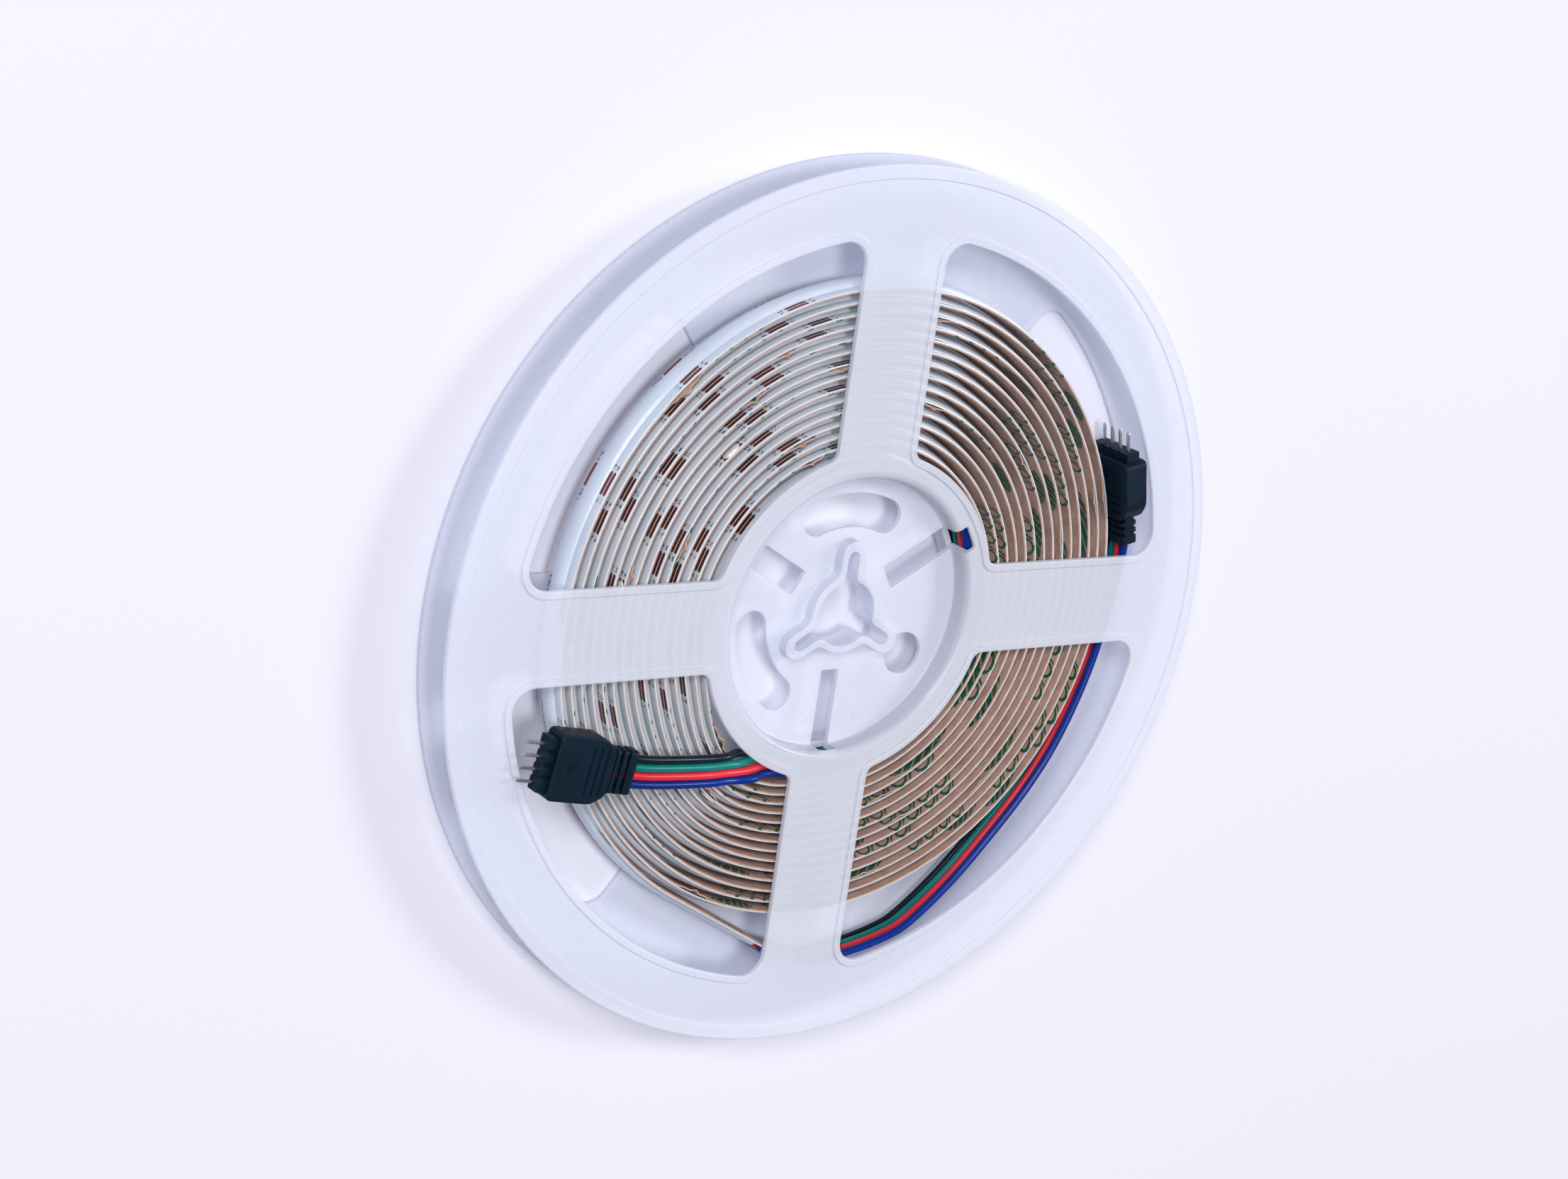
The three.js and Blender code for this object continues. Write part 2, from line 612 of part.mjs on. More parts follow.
function addConnector(side, position, rotation) {
  const group = new THREE.Group();
  group.position.copy(position);
  group.rotation.copy(rotation);
  addPart(group, side + "_connector_housing", housing(), connectorBlack);
  addPart(group, side + "_pin_header", header(), connectorBlack);
  for (const order of WIRES.keys()) {
    addPart(group, side + "_pin_" + (order + 1), pin(order), pinMetal);
  }
  reel.add(group);
}

function addLead(side, stations) {
  WIRES.forEach(({ name, material }, order) => {
    addPart(reel, side + "_lead_" + name, ribbonWire(stations, order), material);
  });
}

const UPWARDS = new THREE.Vector2(0, 1);
const freely = () => Infinity;
const leadStation = (place, twist, height, across = UPWARDS, limit = freely) => ({
  place,
  across,
  height,
  twist,
  limit,
});
const stacked = (place, height = STRIP_MIDDLE) => leadStation(place, 90, height);

const moved = (place, degrees, distance) => place.clone().addScaledVector(polar(1, degrees), distance);

// A sleeve butts against an end of the strip and holds the first stretch of its lead.
function addSleeve(side, end, endDegrees, turn) {
  const middle = end.place.clone().addScaledVector(end.normal, STRIP_DEPTH / 2);
  const start = moved(middle, endDegrees, SLEEVE_BUTT_GAP);
  const degrees = endDegrees + turn;
  const sleeve = addPart(reel, side + "_sleeve", sleeveGeometry(), sleeveFilm);
  sleeve.position.set(start.x, start.y, STRIP_MIDDLE);
  sleeve.rotation.z = rad(degrees);
  return [
    stacked(moved(start, degrees, SLEEVE_LENGTH / 2)),
    stacked(moved(start, degrees, SLEEVE_LENGTH + 1)),
  ];
}

addPart(reel, "spool_front_half", toGeometry(frontHalf()), spoolPlastic);
addPart(reel, "spool_rear_half", toGeometry(rearHalf()), spoolPlastic);

const path = stripPath();
addPart(reel, "led_strip", band(path, STRIP_SECTION), stripWhite);
addPart(reel, "release_liner", band(path, LINER_SECTION), linerPaper);

// The outer connector stands on its side between the coil and the edge of a window.
const outerPinAngle = OUTER_CONNECTOR_ANGLE + 90;
const coilEdge = coilStation(LAST_TURN + OUTER_CONNECTOR_ANGLE);
const coilEdgeRadius = coilEdge.place.dot(coilEdge.normal) + STRIP_DEPTH;
const outerConnector = moved(
  polar(coilEdgeRadius + CONNECTOR_COIL_GAP + HOUSING_THICKNESS / 2, OUTER_CONNECTOR_ANGLE),
  outerPinAngle,
  OUTER_CONNECTOR_ALONG,
);
const outerConnectorHeight = HOUSING_WIDTH / 2 + OUTER_CONNECTOR_LIFT;
addConnector(
  "outer",
  new THREE.Vector3(outerConnector.x, outerConnector.y, outerConnectorHeight),
  new THREE.Euler(Math.PI / 2, rad(outerPinAngle), 0, "ZXY"),
);

// The outer lead runs round the coil to it, at these angles and distances from the coil.
const OUTER_LEAD_ROUTE = [
  [273.5, 11.3],
  [281, 11.3],
  [285, 11.4],
  [290, 11.3],
  [293.5, 10.3],
  [301.5, 7.7],
  [312, 5],
  [321.5, 3.9],
  [330, 3.3],
  [341.5, 2.6],
  [351.5, 2.6],
];
const OUTER_LEAD_STRAIGHT = 2;
const outwardsOfCoil = (degrees, gap) => {
  const { place, normal } = coilStation(LAST_TURN - 360 + degrees);
  return place.addScaledVector(normal, STRIP_DEPTH + gap);
};
const outerLeadEndHeight = Math.min(outerConnectorHeight, UNDER_FRONT - 1.5 * WIRE_PITCH);
addLead("outer", [
  ...addSleeve("outer", path[path.length - 1], END_ANGLE + 90, OUTER_SLEEVE_TURN),
  ...OUTER_LEAD_ROUTE.map(([degrees, gap]) => stacked(outwardsOfCoil(degrees, gap))),
  stacked(moved(outerConnector, outerPinAngle, CABLE_FACE - OUTER_LEAD_STRAIGHT), outerLeadEndHeight),
  stacked(moved(outerConnector, outerPinAngle, CABLE_FACE + WIRE_SEATED), outerConnectorHeight),
]);

// The inner connector lies flat on the strip's edges in a window.
const innerConnectorRadius = FLANGE_RADIUS - INNER_CONNECTOR_TO_RIM;
const innerConnectorY = INNER_CONNECTOR_INSIDE_LEAD - LEAD_HUB_RADIUS;
const innerConnector = new THREE.Vector2(
  -Math.sqrt(innerConnectorRadius ** 2 - innerConnectorY ** 2),
  innerConnectorY,
);
const innerConnectorHeight = STRIP_TOP + CLEARANCE + HOUSING_THICKNESS / 2;
addConnector(
  "inner",
  new THREE.Vector3(innerConnector.x, innerConnector.y, innerConnectorHeight),
  new THREE.Euler(0, 0, rad(INNER_CONNECTOR_ANGLE)),
);

// The inner lead runs round the hub, at these angles, and then twists and climbs out of the coil.
const INNER_LEAD_ON_HUB = [20, 0, -15, -30, -45, -60, -75];

// Places along the climb: angle, distance outwards, twist and height above the strip.
const INNER_LEAD_CLIMB = [
  [264.5, 0.5, 76, -3.5],
  [253.7, 1.3, 48, -2.5],
  [243.9, 2.3, 20, -1.1],
  [238, 4.3, 6, 1],
  [232.7, 6.5, 0, 1.2],
  [229.6, 7.9, 0, 1.5],
  [225.3, 10.6, 0, 1.8],
];

// Each wire stays below the flange's ring until it is clear of it, and then crosses above the strip.
const CLIMB_START = RING_RADIUS + CLEARANCE + WIRE_DIAMETER / 2;
const CLIMB_RUN = 1.5;
const CLIMB_SLOPE = 1.2;
function climb(radius) {
  const past = radius - CLIMB_START;
  if (past > CLIMB_RUN) return Infinity;
  return UNDER_FRONT + CLIMB_SLOPE * Math.max(0, past);
}

const INNER_LEAD_STRAIGHT = 4;
const intoInnerConnector = (distance) =>
  leadStation(
    moved(innerConnector, INNER_CONNECTOR_ANGLE, distance),
    0,
    innerConnectorHeight,
    polar(1, INNER_CONNECTOR_ANGLE - 90),
  );
addLead("inner", [
  ...addSleeve("inner", path[0], START_ANGLE - 90, -INNER_SLEEVE_TURN),
  ...INNER_LEAD_ON_HUB.map((degrees) => stacked(polar(LEAD_HUB_RADIUS, degrees))),
  ...INNER_LEAD_CLIMB.map(([degrees, outwards, twist, height]) => {
    const place = polar(LEAD_HUB_RADIUS + outwards, degrees);
    return leadStation(place, twist, STRIP_TOP + height, UPWARDS, climb);
  }),
  intoInnerConnector(CABLE_FACE - INNER_LEAD_STRAIGHT),
  intoInnerConnector(CABLE_FACE + WIRE_SEATED),
]);

export default reel;
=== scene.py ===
"""Gives the reel of LED strip light its looks, round the solids of its CAD frame.

Sizes are in millimetres, as in the part's source, and become metres as meshes are made.
The spool lies on its rear flange at height 0, and its axis is Z.
"""

import math
from bisect import bisect_right
from functools import reduce

import bmesh
import bpy
from mathutils import Matrix, Vector
from mathutils.geometry import tessellate_polygon


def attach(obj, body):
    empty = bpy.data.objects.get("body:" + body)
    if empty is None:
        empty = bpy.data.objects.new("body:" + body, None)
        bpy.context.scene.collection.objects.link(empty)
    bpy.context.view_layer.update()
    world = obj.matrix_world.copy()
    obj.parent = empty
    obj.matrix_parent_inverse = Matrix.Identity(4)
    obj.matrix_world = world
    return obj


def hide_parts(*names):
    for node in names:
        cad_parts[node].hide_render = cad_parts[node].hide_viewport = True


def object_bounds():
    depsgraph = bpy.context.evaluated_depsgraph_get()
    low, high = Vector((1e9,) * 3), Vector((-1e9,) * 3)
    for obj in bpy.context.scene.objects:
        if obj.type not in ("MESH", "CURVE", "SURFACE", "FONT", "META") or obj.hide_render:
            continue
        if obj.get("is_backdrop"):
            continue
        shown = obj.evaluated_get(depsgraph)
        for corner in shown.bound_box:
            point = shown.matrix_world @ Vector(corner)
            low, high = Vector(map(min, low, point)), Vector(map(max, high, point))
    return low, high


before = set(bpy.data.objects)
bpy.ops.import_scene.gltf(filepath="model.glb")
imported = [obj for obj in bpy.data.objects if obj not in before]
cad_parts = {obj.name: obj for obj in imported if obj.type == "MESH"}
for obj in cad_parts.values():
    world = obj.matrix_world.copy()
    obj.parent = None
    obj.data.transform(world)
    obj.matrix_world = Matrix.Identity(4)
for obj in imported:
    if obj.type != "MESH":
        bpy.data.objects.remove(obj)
cad_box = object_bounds()

MM = 0.001

# Strip and liner
STRIP_BOTTOM = 1.5
STRIP_TOP = 9.5
STRIP_MIDDLE = 5.5
CIRCUIT_THICKNESS = 0.24
STRIP_DEPTH = 1.35
CIRCUIT_BACK = -0.06
EDGE_ROUNDING = 0.06
DOME_MIDDLE = 5.0
DOME_HALF_WIDTH = 2.15
DOME_STEPS = 12
LINER_BACK = -0.34
LINER_FRONT = -0.07
LINER_BOTTOM = 1.55
LINER_TOP = 9.45

# Winding
TURN_PITCH = 2.3
START_ANGLE = 60
WOUND_DEGREES = 14.5 * 360
END_ANGLE = START_ANGLE + WOUND_DEGREES
LAST_TURN = 5040
COIL_STEP = 2.5
COIL_START_RADIUS = 32.62
TAIL_LENGTH = 27
TAIL_STEPS = 9
END_TUCK = 1
END_TUCK_ANGLE = 45
COIL_SETTLE = Vector((0.6, 0.9))
BULGE_HEIGHT = 3.8
BULGE_FALL_PER_TURN = 0.4
BULGE_ANGLE = 237
BULGE_HALF_ANGLE = 42

# Copper pads: two rows near the strip's front edge and one near its rear edge. A pad's place is its
# distance along the strip. From turn to turn, inwards, the pads shift.
PAD_PITCH = 25.3
PAD_PLACE = 4359.2
PAD_SHIFT = 7.6
PAD_SHIFT_GROWTH = 0.049
PAD_SHIFT_ANGLE = 90
PAD_LENGTH = 4.9
PAD_WIDTH = 0.92
PAD_RISE = 0.03
PAD_STEPS = 10
PAD_ROWS = [8.82, 7.74, 2.05]
SOLDER_EVERY = 20
SOLDER_PAD = -113
SOLDER_RISE = 0.5
SOLDER_LENGTH = 4
SOLDER_BLOBS = [(8.28, 2.1), (2.2, 1.3)]

# Marks before and after a pad: half their height, distance from the pad's middle, half their length
FRONT_MARKS = (0.3, 3.4, 0.5)
REAR_MARKS = (0.34, 4.1, 1.2)

# The liner's print, which repeats: a striped oval, then rings with a leaning bar after each
PRINT_PERIOD = 83
PRINT_DRIFT = 26
PRINT_HEIGHT = 7.5
OVAL_MIDDLE = (7, 7.4)
OVAL_RADII = (5.6, 1.9)
OVAL_STRIPE_PITCH = 1.9
OVAL_STRIPE_SLANT = 0.7
OVAL_STRIPE_SHARE = 0.84
RINGS_START = 18
RINGS_END = 36
RING_PITCH = 4.5
RING_MIDDLE = 1.9
RING_RADII = (1.3, 1.7)
RING_LINE = 0.21
BAR_MIDDLE = 4.1
BAR_LEAN = 0.3
BAR_HALF_WIDTH = 0.24

# Spool
FLANGE_RADIUS = 90
SHEET_THICKNESS = 0.8
FLANGE_THICKNESS = 1.2
LIP_WIDTH = 2.7
RING_RADIUS = 33.8
SPOKE_WIDTH = 18.8
WINDOW_OUTER_RADIUS = 76.3
WINDOW_OUTER_CORNER = 4.5
WINDOW_INNER_CORNER = 2.2
WINDOW_RIM_WIDTH = 1.6
REAR_WINDOW_DEGREES = 53.5
HUB_BORE_RADIUS = 28.2
HUB_RADIUS = 29.6
FRONT_INNER = 10
WEB_BOTTOM = 5.05
WEB_TOP = 6.15
REAR_WALL_TOP = 4.75
CUP_MOUTH_RADIUS = 31.4
WALL_FOOT_RADIUS = 30.4
WEB_TOP_RADIUS = 27.2
WEB_BOTTOM_RADIUS = 28.9
FLANGE_SIDES = 240
HUB_SIDES = 144

# Web across the hub
ARBOR_RADIUS = 6.7
BOSS_RADIUS = 8.2
BOSS_BOTTOM = 2.45
BOSS_TOP = 8.75
BOSS_WALL = 0.7
BORE_MOUTH = 0.5
KEYWAY_ANGLES = [90, 210, 330]
KEYWAY_WIDTH = 2.6
KEYWAY_REACH = 12.9
LOBE_WIDTH = 5.6
LOBE_REACH = 15.2
KIDNEY_INNER_RADIUS = 17.2
KIDNEY_OUTER_RADIUS = 24.2
KIDNEY_DEGREES = 66
KIDNEY_ANGLES = [90, 210]
DRIVE_HOLE_RADIUS = 4.4
DRIVE_HOLE_PLACE = (20.2, 330)
SLOT_INNER_RADIUS = 12.4
SLOT_CORNER = 0.6
EJECTOR_RADIUS = 1.4
EJECTOR_DEPTH = 0.1
EJECTOR_PLACES = [(22.1, 4.0), (17.2, 16.6), (6.5, -23.1), (-5, -23.1)]

# Each slot's angle, width, outer radius and top
SLOTS = [(150, 5.4, 24.4, 13), (30, 5.4, 31, 13), (270, 4.2, 31, 9.4)]

# Leads
WIRE_PITCH = 1.7
MIDDLE_OF_WIRES = 1.5
WIRE_RADIUS = 0.83
WIRE_SIDES = 16
WIRE_STEP = 0.9
UNDER_FRONT = 8.95
LEAD_HUB_RADIUS = 30.65
SLEEVE_LENGTH = 9
SLEEVE_BUTT_GAP = 0.5
SLEEVE_HALF_HEIGHT = 3.85
SLEEVE_HALF_DEPTH = 1.3
SLEEVE_WALL = 0.3
SLEEVE_ROUNDING = 0.9
OUTER_SLEEVE_TURN = 9
INNER_SLEEVE_TURN = 8.3
OUTER_LEAD_STRAIGHT = 2
INNER_LEAD_STRAIGHT = 4
CLIMB_START = 34.85
CLIMB_RUN = 1.5
CLIMB_SLOPE = 1.2

# The outer lead's angles round the coil and its distances from it
OUTER_LEAD_ROUTE = [
    (273.5, 11.3),
    (281, 11.3),
    (285, 11.4),
    (290, 11.3),
    (293.5, 10.3),
    (301.5, 7.7),
    (312, 5),
    (321.5, 3.9),
    (330, 3.3),
    (341.5, 2.6),
    (351.5, 2.6),
]

# The inner lead's angles round the hub, then its angle, way outwards, twist and height above the
# strip as it climbs
INNER_LEAD_ON_HUB = [20, 0, -15, -30, -45, -60, -75]
INNER_LEAD_CLIMB = [
    (264.5, 0.5, 76, -3.5),
    (253.7, 1.3, 48, -2.5),
    (243.9, 2.3, 20, -1.1),
    (238, 4.3, 6, 1),
    (232.7, 6.5, 0, 1.2),
    (229.6, 7.9, 0, 1.5),
    (225.3, 10.6, 0, 1.8),
]

# Connectors, each with its pins along +X, its width along Y and its thickness along Z
PIN_SPACING = 2.54
PIN_SIDE = 0.64
PIN_EXPOSED = 4
HEADER_EXPOSED = 1.9
HEADER_SEATED = 1.1
HEADER_WIDTH = 10.96
HEADER_THICKNESS = 3.2
HEADER_NOTCH = 0.5
HOUSING_FRONT = 6.5
HOUSING_WIDTH = 13.16
HOUSING_THICKNESS = 5.4
HOUSING_TAPER_LENGTH = 3
HOUSING_TAPER = 2
GROOVES = [-4.5, -2.9, -1.3]
GROOVE_LENGTH = 9.56
GROOVE_WIDTH = 0.5
GROOVE_DEPTH = 0.3
RIBS = [(-8.1, 0.9), (-9.7, 0.9), (-12.1, 1.7)]
RIB_WIDTH = 8.9
RIB_THICKNESS = 3.8
CABLE_FACE = -12.1
RELIEF_HOLE = (7.1, 2.05)
RELIEF_BAR = (0.7, 2.4)
RELIEF_BAR_PLACE = 3.85
SEAT_PLAY = 0.3
SEAT_DEPTH = 1.4
ARROW_DEPTH = 0.14
ARROW_HEAD = [(4.3, 0), (3.2, 1.0), (2.85, 0.85), (3.6, 0.14), (2.2, 0.14)]
OUTER_CONNECTOR_ANGLE = 12.7
OUTER_CONNECTOR_ALONG = 8.8
OUTER_CONNECTOR_HEIGHT = 6.78
OUTER_CONNECTOR_FROM_COIL = 3.4
INNER_CONNECTOR = Vector((-60.582, -24.9))
INNER_CONNECTOR_ANGLE = 170
INNER_CONNECTOR_HEIGHT = 12.5

# Room, in metres. Each lamp has its name, place, diameter and power.
FLOOR_HALF_WIDTH = 3
FLOOR_HEIGHT = -0.0002
LAMPS = [
    ("left", (-1.5, 1.45, 1.85), 0.8, 34),
    ("right", (2.2, 0.6, 1.7), 0.8, 34),
    ("top", (-0.3, 0.3, 2.7), 1.0, 33),
]
WORLD_STRENGTH = 0.18

# The camera, solved from the outlines of the flanges in the photo
CAMERA_SENSOR = 36
CAMERA_LENS = 70.277
CAMERA_RIGHT = Vector((0.81944, 0.13836, 0.55621))
CAMERA_UP = Vector((0.05246, 0.94825, -0.31317))
CAMERA_PLACE = Vector((-0.3531, 0.1749, 0.4634))


# Materials


def srgb(red, green, blue):
    """A colour as a screen shows it, from 0 to 255, as the linear colour that shaders take."""

    def linear(value):
        share = value / 255
        return share / 12.92 if share <= 0.04045 else ((share + 0.055) / 1.055) ** 2.4

    return (linear(red), linear(green), linear(blue), 1)


class Graph:
    """The nodes of one material."""

    def __init__(self, name):
        self.material = bpy.data.materials.new(name)
        self.material.use_nodes = True
        self.tree = self.material.node_tree
        self.tree.nodes.clear()

    def node(self, kind, inputs=None, **settings):
        made = self.tree.nodes.new("ShaderNode" + kind)
        for key, value in settings.items():
            setattr(made, key, value)
        for key, value in (inputs or {}).items():
            if isinstance(value, bpy.types.NodeSocket):
                self.tree.links.new(value, made.inputs[key])
            else:
                made.inputs[key].default_value = value
        return made

    def math(self, operation, a, b=0.0):
        return self.node("Math", {0: a, 1: b}, operation=operation).outputs[0]

    def either(self, *masks):
        return reduce(lambda a, b: self.math("MAXIMUM", a, b), masks)

    def both(self, *masks):
        return reduce(lambda a, b: self.math("MULTIPLY", a, b), masks)

    def near(self, value, middle, reach):
        """1 where a value is within reach of the middle, else 0."""
        off = self.math("ABSOLUTE", self.math("SUBTRACT", value, middle))
        return self.math("LESS_THAN", off, reach)

    def ellipse(self, x, y, middle, radii):
        """1 on an ellipse's outline, less inside and more outside."""
        across = self.math("DIVIDE", self.math("SUBTRACT", x, middle[0]), radii[0])
        up = self.math("DIVIDE", self.math("SUBTRACT", y, middle[1]), radii[1])
        squares = self.math("ADD", self.math("POWER", across, 2), self.math("POWER", up, 2))
        return self.math("SQRT", squares)

    def noise(self, scale, detail=3.0, stretch=(1, 1, 1)):
        """Noise in the object's own space, 0 to 1. The scale is about its features in a metre."""
        place = self.node("TexCoord").outputs["Object"]
        place = self.node("Mapping", {"Vector": place, "Scale": stretch}).outputs[0]
        made = self.node("TexNoise", {"Vector": place, "Scale": scale, "Detail": detail})
        return self.spread(made.outputs[0], 0, 1)

    def spread(self, value, low, high, start=0.3, end=0.7):
        """Maps a range of numbers to another."""
        inputs = {"Value": value, "From Min": start, "From Max": end, "To Min": low, "To Max": high}
        return self.node("MapRange", inputs).outputs[0]

    def blend(self, share, first, second):
        """A colour between two, by the share of the second."""
        return self.node("Mix", {0: share, 6: first, 7: second}, data_type="RGBA").outputs[2]

    def bump(self, height, strength, distance):
        inputs = {"Height": height, "Strength": strength, "Distance": distance * MM}
        return self.node("Bump", inputs).outputs[0]

    def on_strip(self):
        """The distance along the strip and the height, in millimetres."""
        place = self.node("Attribute", attribute_name="on_strip").outputs["Vector"]
        parts = self.node("SeparateXYZ", {0: place}).outputs
        return parts[0], parts[1]

    def principled(self, **inputs):
        named = {key.replace("_", " "): value for key, value in inputs.items()}
        return self.node("BsdfPrincipled", named).outputs[0]

    def mix(self, share, first, second):
        return self.node("MixShader", {0: share, 1: first, 2: second}).outputs[0]

    def finish(self, shader):
        self.node("OutputMaterial", {"Surface": shader})
        return self.material


def moulded(name, dark, light, roughness, grain, bump, **extra):
    """Plastic or metal whose colour, gloss and surface vary a little."""
    g = Graph(name)
    colour = g.blend(g.noise(grain / 12), dark, light)
    shine = g.spread(g.noise(grain / 4), roughness - 0.06, roughness + 0.06, 0, 1)
    skin = g.bump(g.noise(grain, 2.0), bump, 0.05)
    return g.finish(g.principled(Base_Color=colour, Roughness=shine, Normal=skin, **extra))


def milky_plastic():
    """Thin polypropylene: much light goes through it, and what lies close behind shows faintly."""
    g = Graph("milky_plastic")
    colour = g.blend(g.noise(35, 4.0), srgb(240, 243, 255), srgb(242, 244, 255))
    shine = g.spread(g.noise(140), 0.24, 0.3, 0, 1)
    skin = g.bump(g.noise(160, 2.0), 0.1, 0.03)
    body = g.principled(Base_Color=colour, Roughness=shine, Normal=skin, IOR=1.49)
    glow = g.node("BsdfTranslucent", {"Color": colour}).outputs[0]
    clear = g.node("BsdfTransparent", {"Color": srgb(250, 251, 255)}).outputs[0]
    glowing_body = g.mix(0.08, body, glow)
    return g.finish(g.mix(0.45, glowing_body, clear))


def strip_white():
    """The strip's white face, with small printed marks at the ends of its pads."""
    g = Graph("strip_white")
    printed, height = g.on_strip()
    from_pad = g.math("FRACT", g.math("ADD", g.math("DIVIDE", printed, PAD_PITCH), 0.5))
    from_pad = g.math("ABSOLUTE", g.math("SUBTRACT", from_pad, 0.5))
    from_pad = g.math("MULTIPLY", from_pad, PAD_PITCH)
    half_height, distance, half_length = FRONT_MARKS
    front_rows = g.either(*(g.near(height, row, half_height) for row in PAD_ROWS[:2]))
    front = g.both(front_rows, g.near(from_pad, distance, half_length))
    half_height, distance, half_length = REAR_MARKS
    rear = g.both(
        g.near(height, PAD_ROWS[2], half_height), g.near(from_pad, distance, half_length)
    )
    ink = g.both(g.either(front, rear), g.math("GREATER_THAN", g.noise(2400, 1.0), 0.45))
    face = g.blend(g.noise(60), srgb(200, 211, 226), srgb(211, 220, 234))
    colour = g.blend(g.math("MULTIPLY", ink, 0.85), face, srgb(42, 48, 62))
    shine = g.spread(g.noise(200), 0.16, 0.28, 0, 1)
    skin = g.bump(g.noise(500, 2.0), 0.1, 0.05)
    return g.finish(g.principled(Base_Color=colour, Roughness=shine, Normal=skin))


def liner_paper():
    """Waxed kraft paper, printed with green ovals, rings and bars."""
    g = Graph("liner_paper")
    printed, height = g.on_strip()
    drift = g.math("MULTIPLY", g.noise(14, 1.0), PRINT_DRIFT)
    along = g.math("FLOORED_MODULO", g.math("ADD", printed, drift), PRINT_PERIOD)
    slanted = g.math("ADD", along, g.math("MULTIPLY", height, OVAL_STRIPE_SLANT))
    stripe = g.math("FRACT", g.math("DIVIDE", slanted, OVAL_STRIPE_PITCH))
    oval = g.math("LESS_THAN", g.ellipse(along, height, OVAL_MIDDLE, OVAL_RADII), 1)
    striped = g.both(oval, g.math("LESS_THAN", stripe, OVAL_STRIPE_SHARE))
    ringed = g.near(along, (RINGS_START + RINGS_END) / 2, (RINGS_END - RINGS_START) / 2)
    cell = g.math("FLOORED_MODULO", g.math("SUBTRACT", along, RINGS_START), RING_PITCH)
    ring = g.near(
        g.ellipse(cell, height, (RING_MIDDLE, PRINT_HEIGHT), RING_RADII), 1, RING_LINE
    )
    above = g.math("SUBTRACT", height, PRINT_HEIGHT)
    leaning = g.math("ADD", cell, g.math("MULTIPLY", above, BAR_LEAN))
    bar = g.both(
        g.near(leaning, BAR_MIDDLE, BAR_HALF_WIDTH), g.near(height, PRINT_HEIGHT, RING_RADII[1])
    )
    print_mask = g.either(striped, g.both(ringed, g.either(ring, bar)))
    worn = g.spread(g.noise(900, 2.0), 0.75, 1.0, 0.1, 0.5)
    fibre = g.blend(g.noise(420, 4.0, (1, 1, 3)), srgb(178, 139, 120), srgb(204, 167, 149))
    colour = g.blend(g.math("MULTIPLY", print_mask, worn), fibre, srgb(6, 84, 56))
    skin = g.bump(g.noise(1500, 3.0), 0.25, 0.04)
    shine = g.spread(g.noise(300), 0.36, 0.5, 0, 1)
    return g.finish(g.principled(Base_Color=colour, Roughness=shine, Normal=skin))


def clear_film():
    """Shrunk film, clear but for its gloss and a faint haze."""
    g = Graph("clear_film")
    skin = g.bump(g.noise(500, 2.0), 0.5, 0.15)
    haze = g.spread(g.noise(300), 0.14, 0.26, 0, 1)
    body = g.principled(Base_Color=srgb(236, 239, 246), Roughness=0.08, Normal=skin)
    clear = g.node("BsdfTransparent", {"Color": srgb(246, 248, 252)}).outputs[0]
    return g.finish(g.mix(haze, clear, body))


MILKY = milky_plastic()
STRIP_WHITE = strip_white()
LINER = liner_paper()
FILM = clear_film()
COPPER = moulded("pad_copper", srgb(104, 46, 30), srgb(138, 70, 50), 0.34, 900, 0.1, Metallic=0.6)
SOLDER = moulded("solder", srgb(236, 237, 240), srgb(250, 250, 252), 0.2, 900, 0.6, Metallic=0.25)
BLACK = moulded(
    "connector_black", srgb(3, 22, 38), srgb(8, 30, 48), 0.46, 1600, 0.25, Specular_IOR_Level=0.18
)
PIN_METAL = moulded(
    "pin_metal", srgb(196, 198, 204), srgb(224, 226, 232), 0.22, 800, 0.1, Metallic=1.0
)
WIRES = {}
for colour, dark, light in (
    ("blue", (2, 38, 122), (4, 48, 144)),
    ("red", (212, 40, 56), (230, 56, 70)),
    ("green", (6, 112, 110), (14, 130, 126)),
    ("black", (8, 22, 32), (16, 34, 46)),
):
    colours = (srgb(*dark), srgb(*light))
    WIRES[colour] = moulded("wire_" + colour, *colours, 0.3, 700, 0.12, Specular_IOR_Level=0.24)


# Outlines and profiles


def polar(radius, degrees):
    turn = math.radians(degrees)
    return Vector((radius * math.cos(turn), radius * math.sin(turn)))


def arc(center, radius, start, end, steps):
    return [center + polar(radius, start + (end - start) * i / steps) for i in range(steps + 1)]


AXIS = Vector((0, 0))


def circle(radius, steps, center=AXIS):
    return arc(center, radius, 0, 360, steps)[:-1]


def rounded_corner(before, corner, after, radius, steps):
    back = before - corner
    on = after - corner
    reach = min(radius, 0.49 * back.length, 0.49 * on.length)
    start = corner + back.normalized() * reach
    end = corner + on.normalized() * reach
    shares = [i / steps for i in range(steps + 1)]
    return [start * (1 - t) ** 2 + corner * 2 * t * (1 - t) + end * t * t for t in shares]


def profile(path, radii, steps=3):
    """An open line of points whose inner corners are rounded."""
    points = [Vector(p) for p in path]
    made = [points[0]]
    for i, radius in enumerate(radii):
        made += rounded_corner(*points[i : i + 3], radius, steps)
    return made + [points[-1]]


def rounded_outline(corners, radius, steps=5):
    """A closed line of points whose corners are rounded."""
    points = [Vector(p) for p in corners]
    made = []
    for i, corner in enumerate(points):
        made += rounded_corner(points[i - 1], corner, points[(i + 1) % len(points)], radius, steps)
    return made


def box_outline(width, height, radius, center=(0, 0)):
    x, y = width / 2, height / 2
    corners = [(x, -y), (x, y), (-x, y), (-x, -y)]
    return rounded_outline([(center[0] + a, center[1] + b) for a, b in corners], radius)


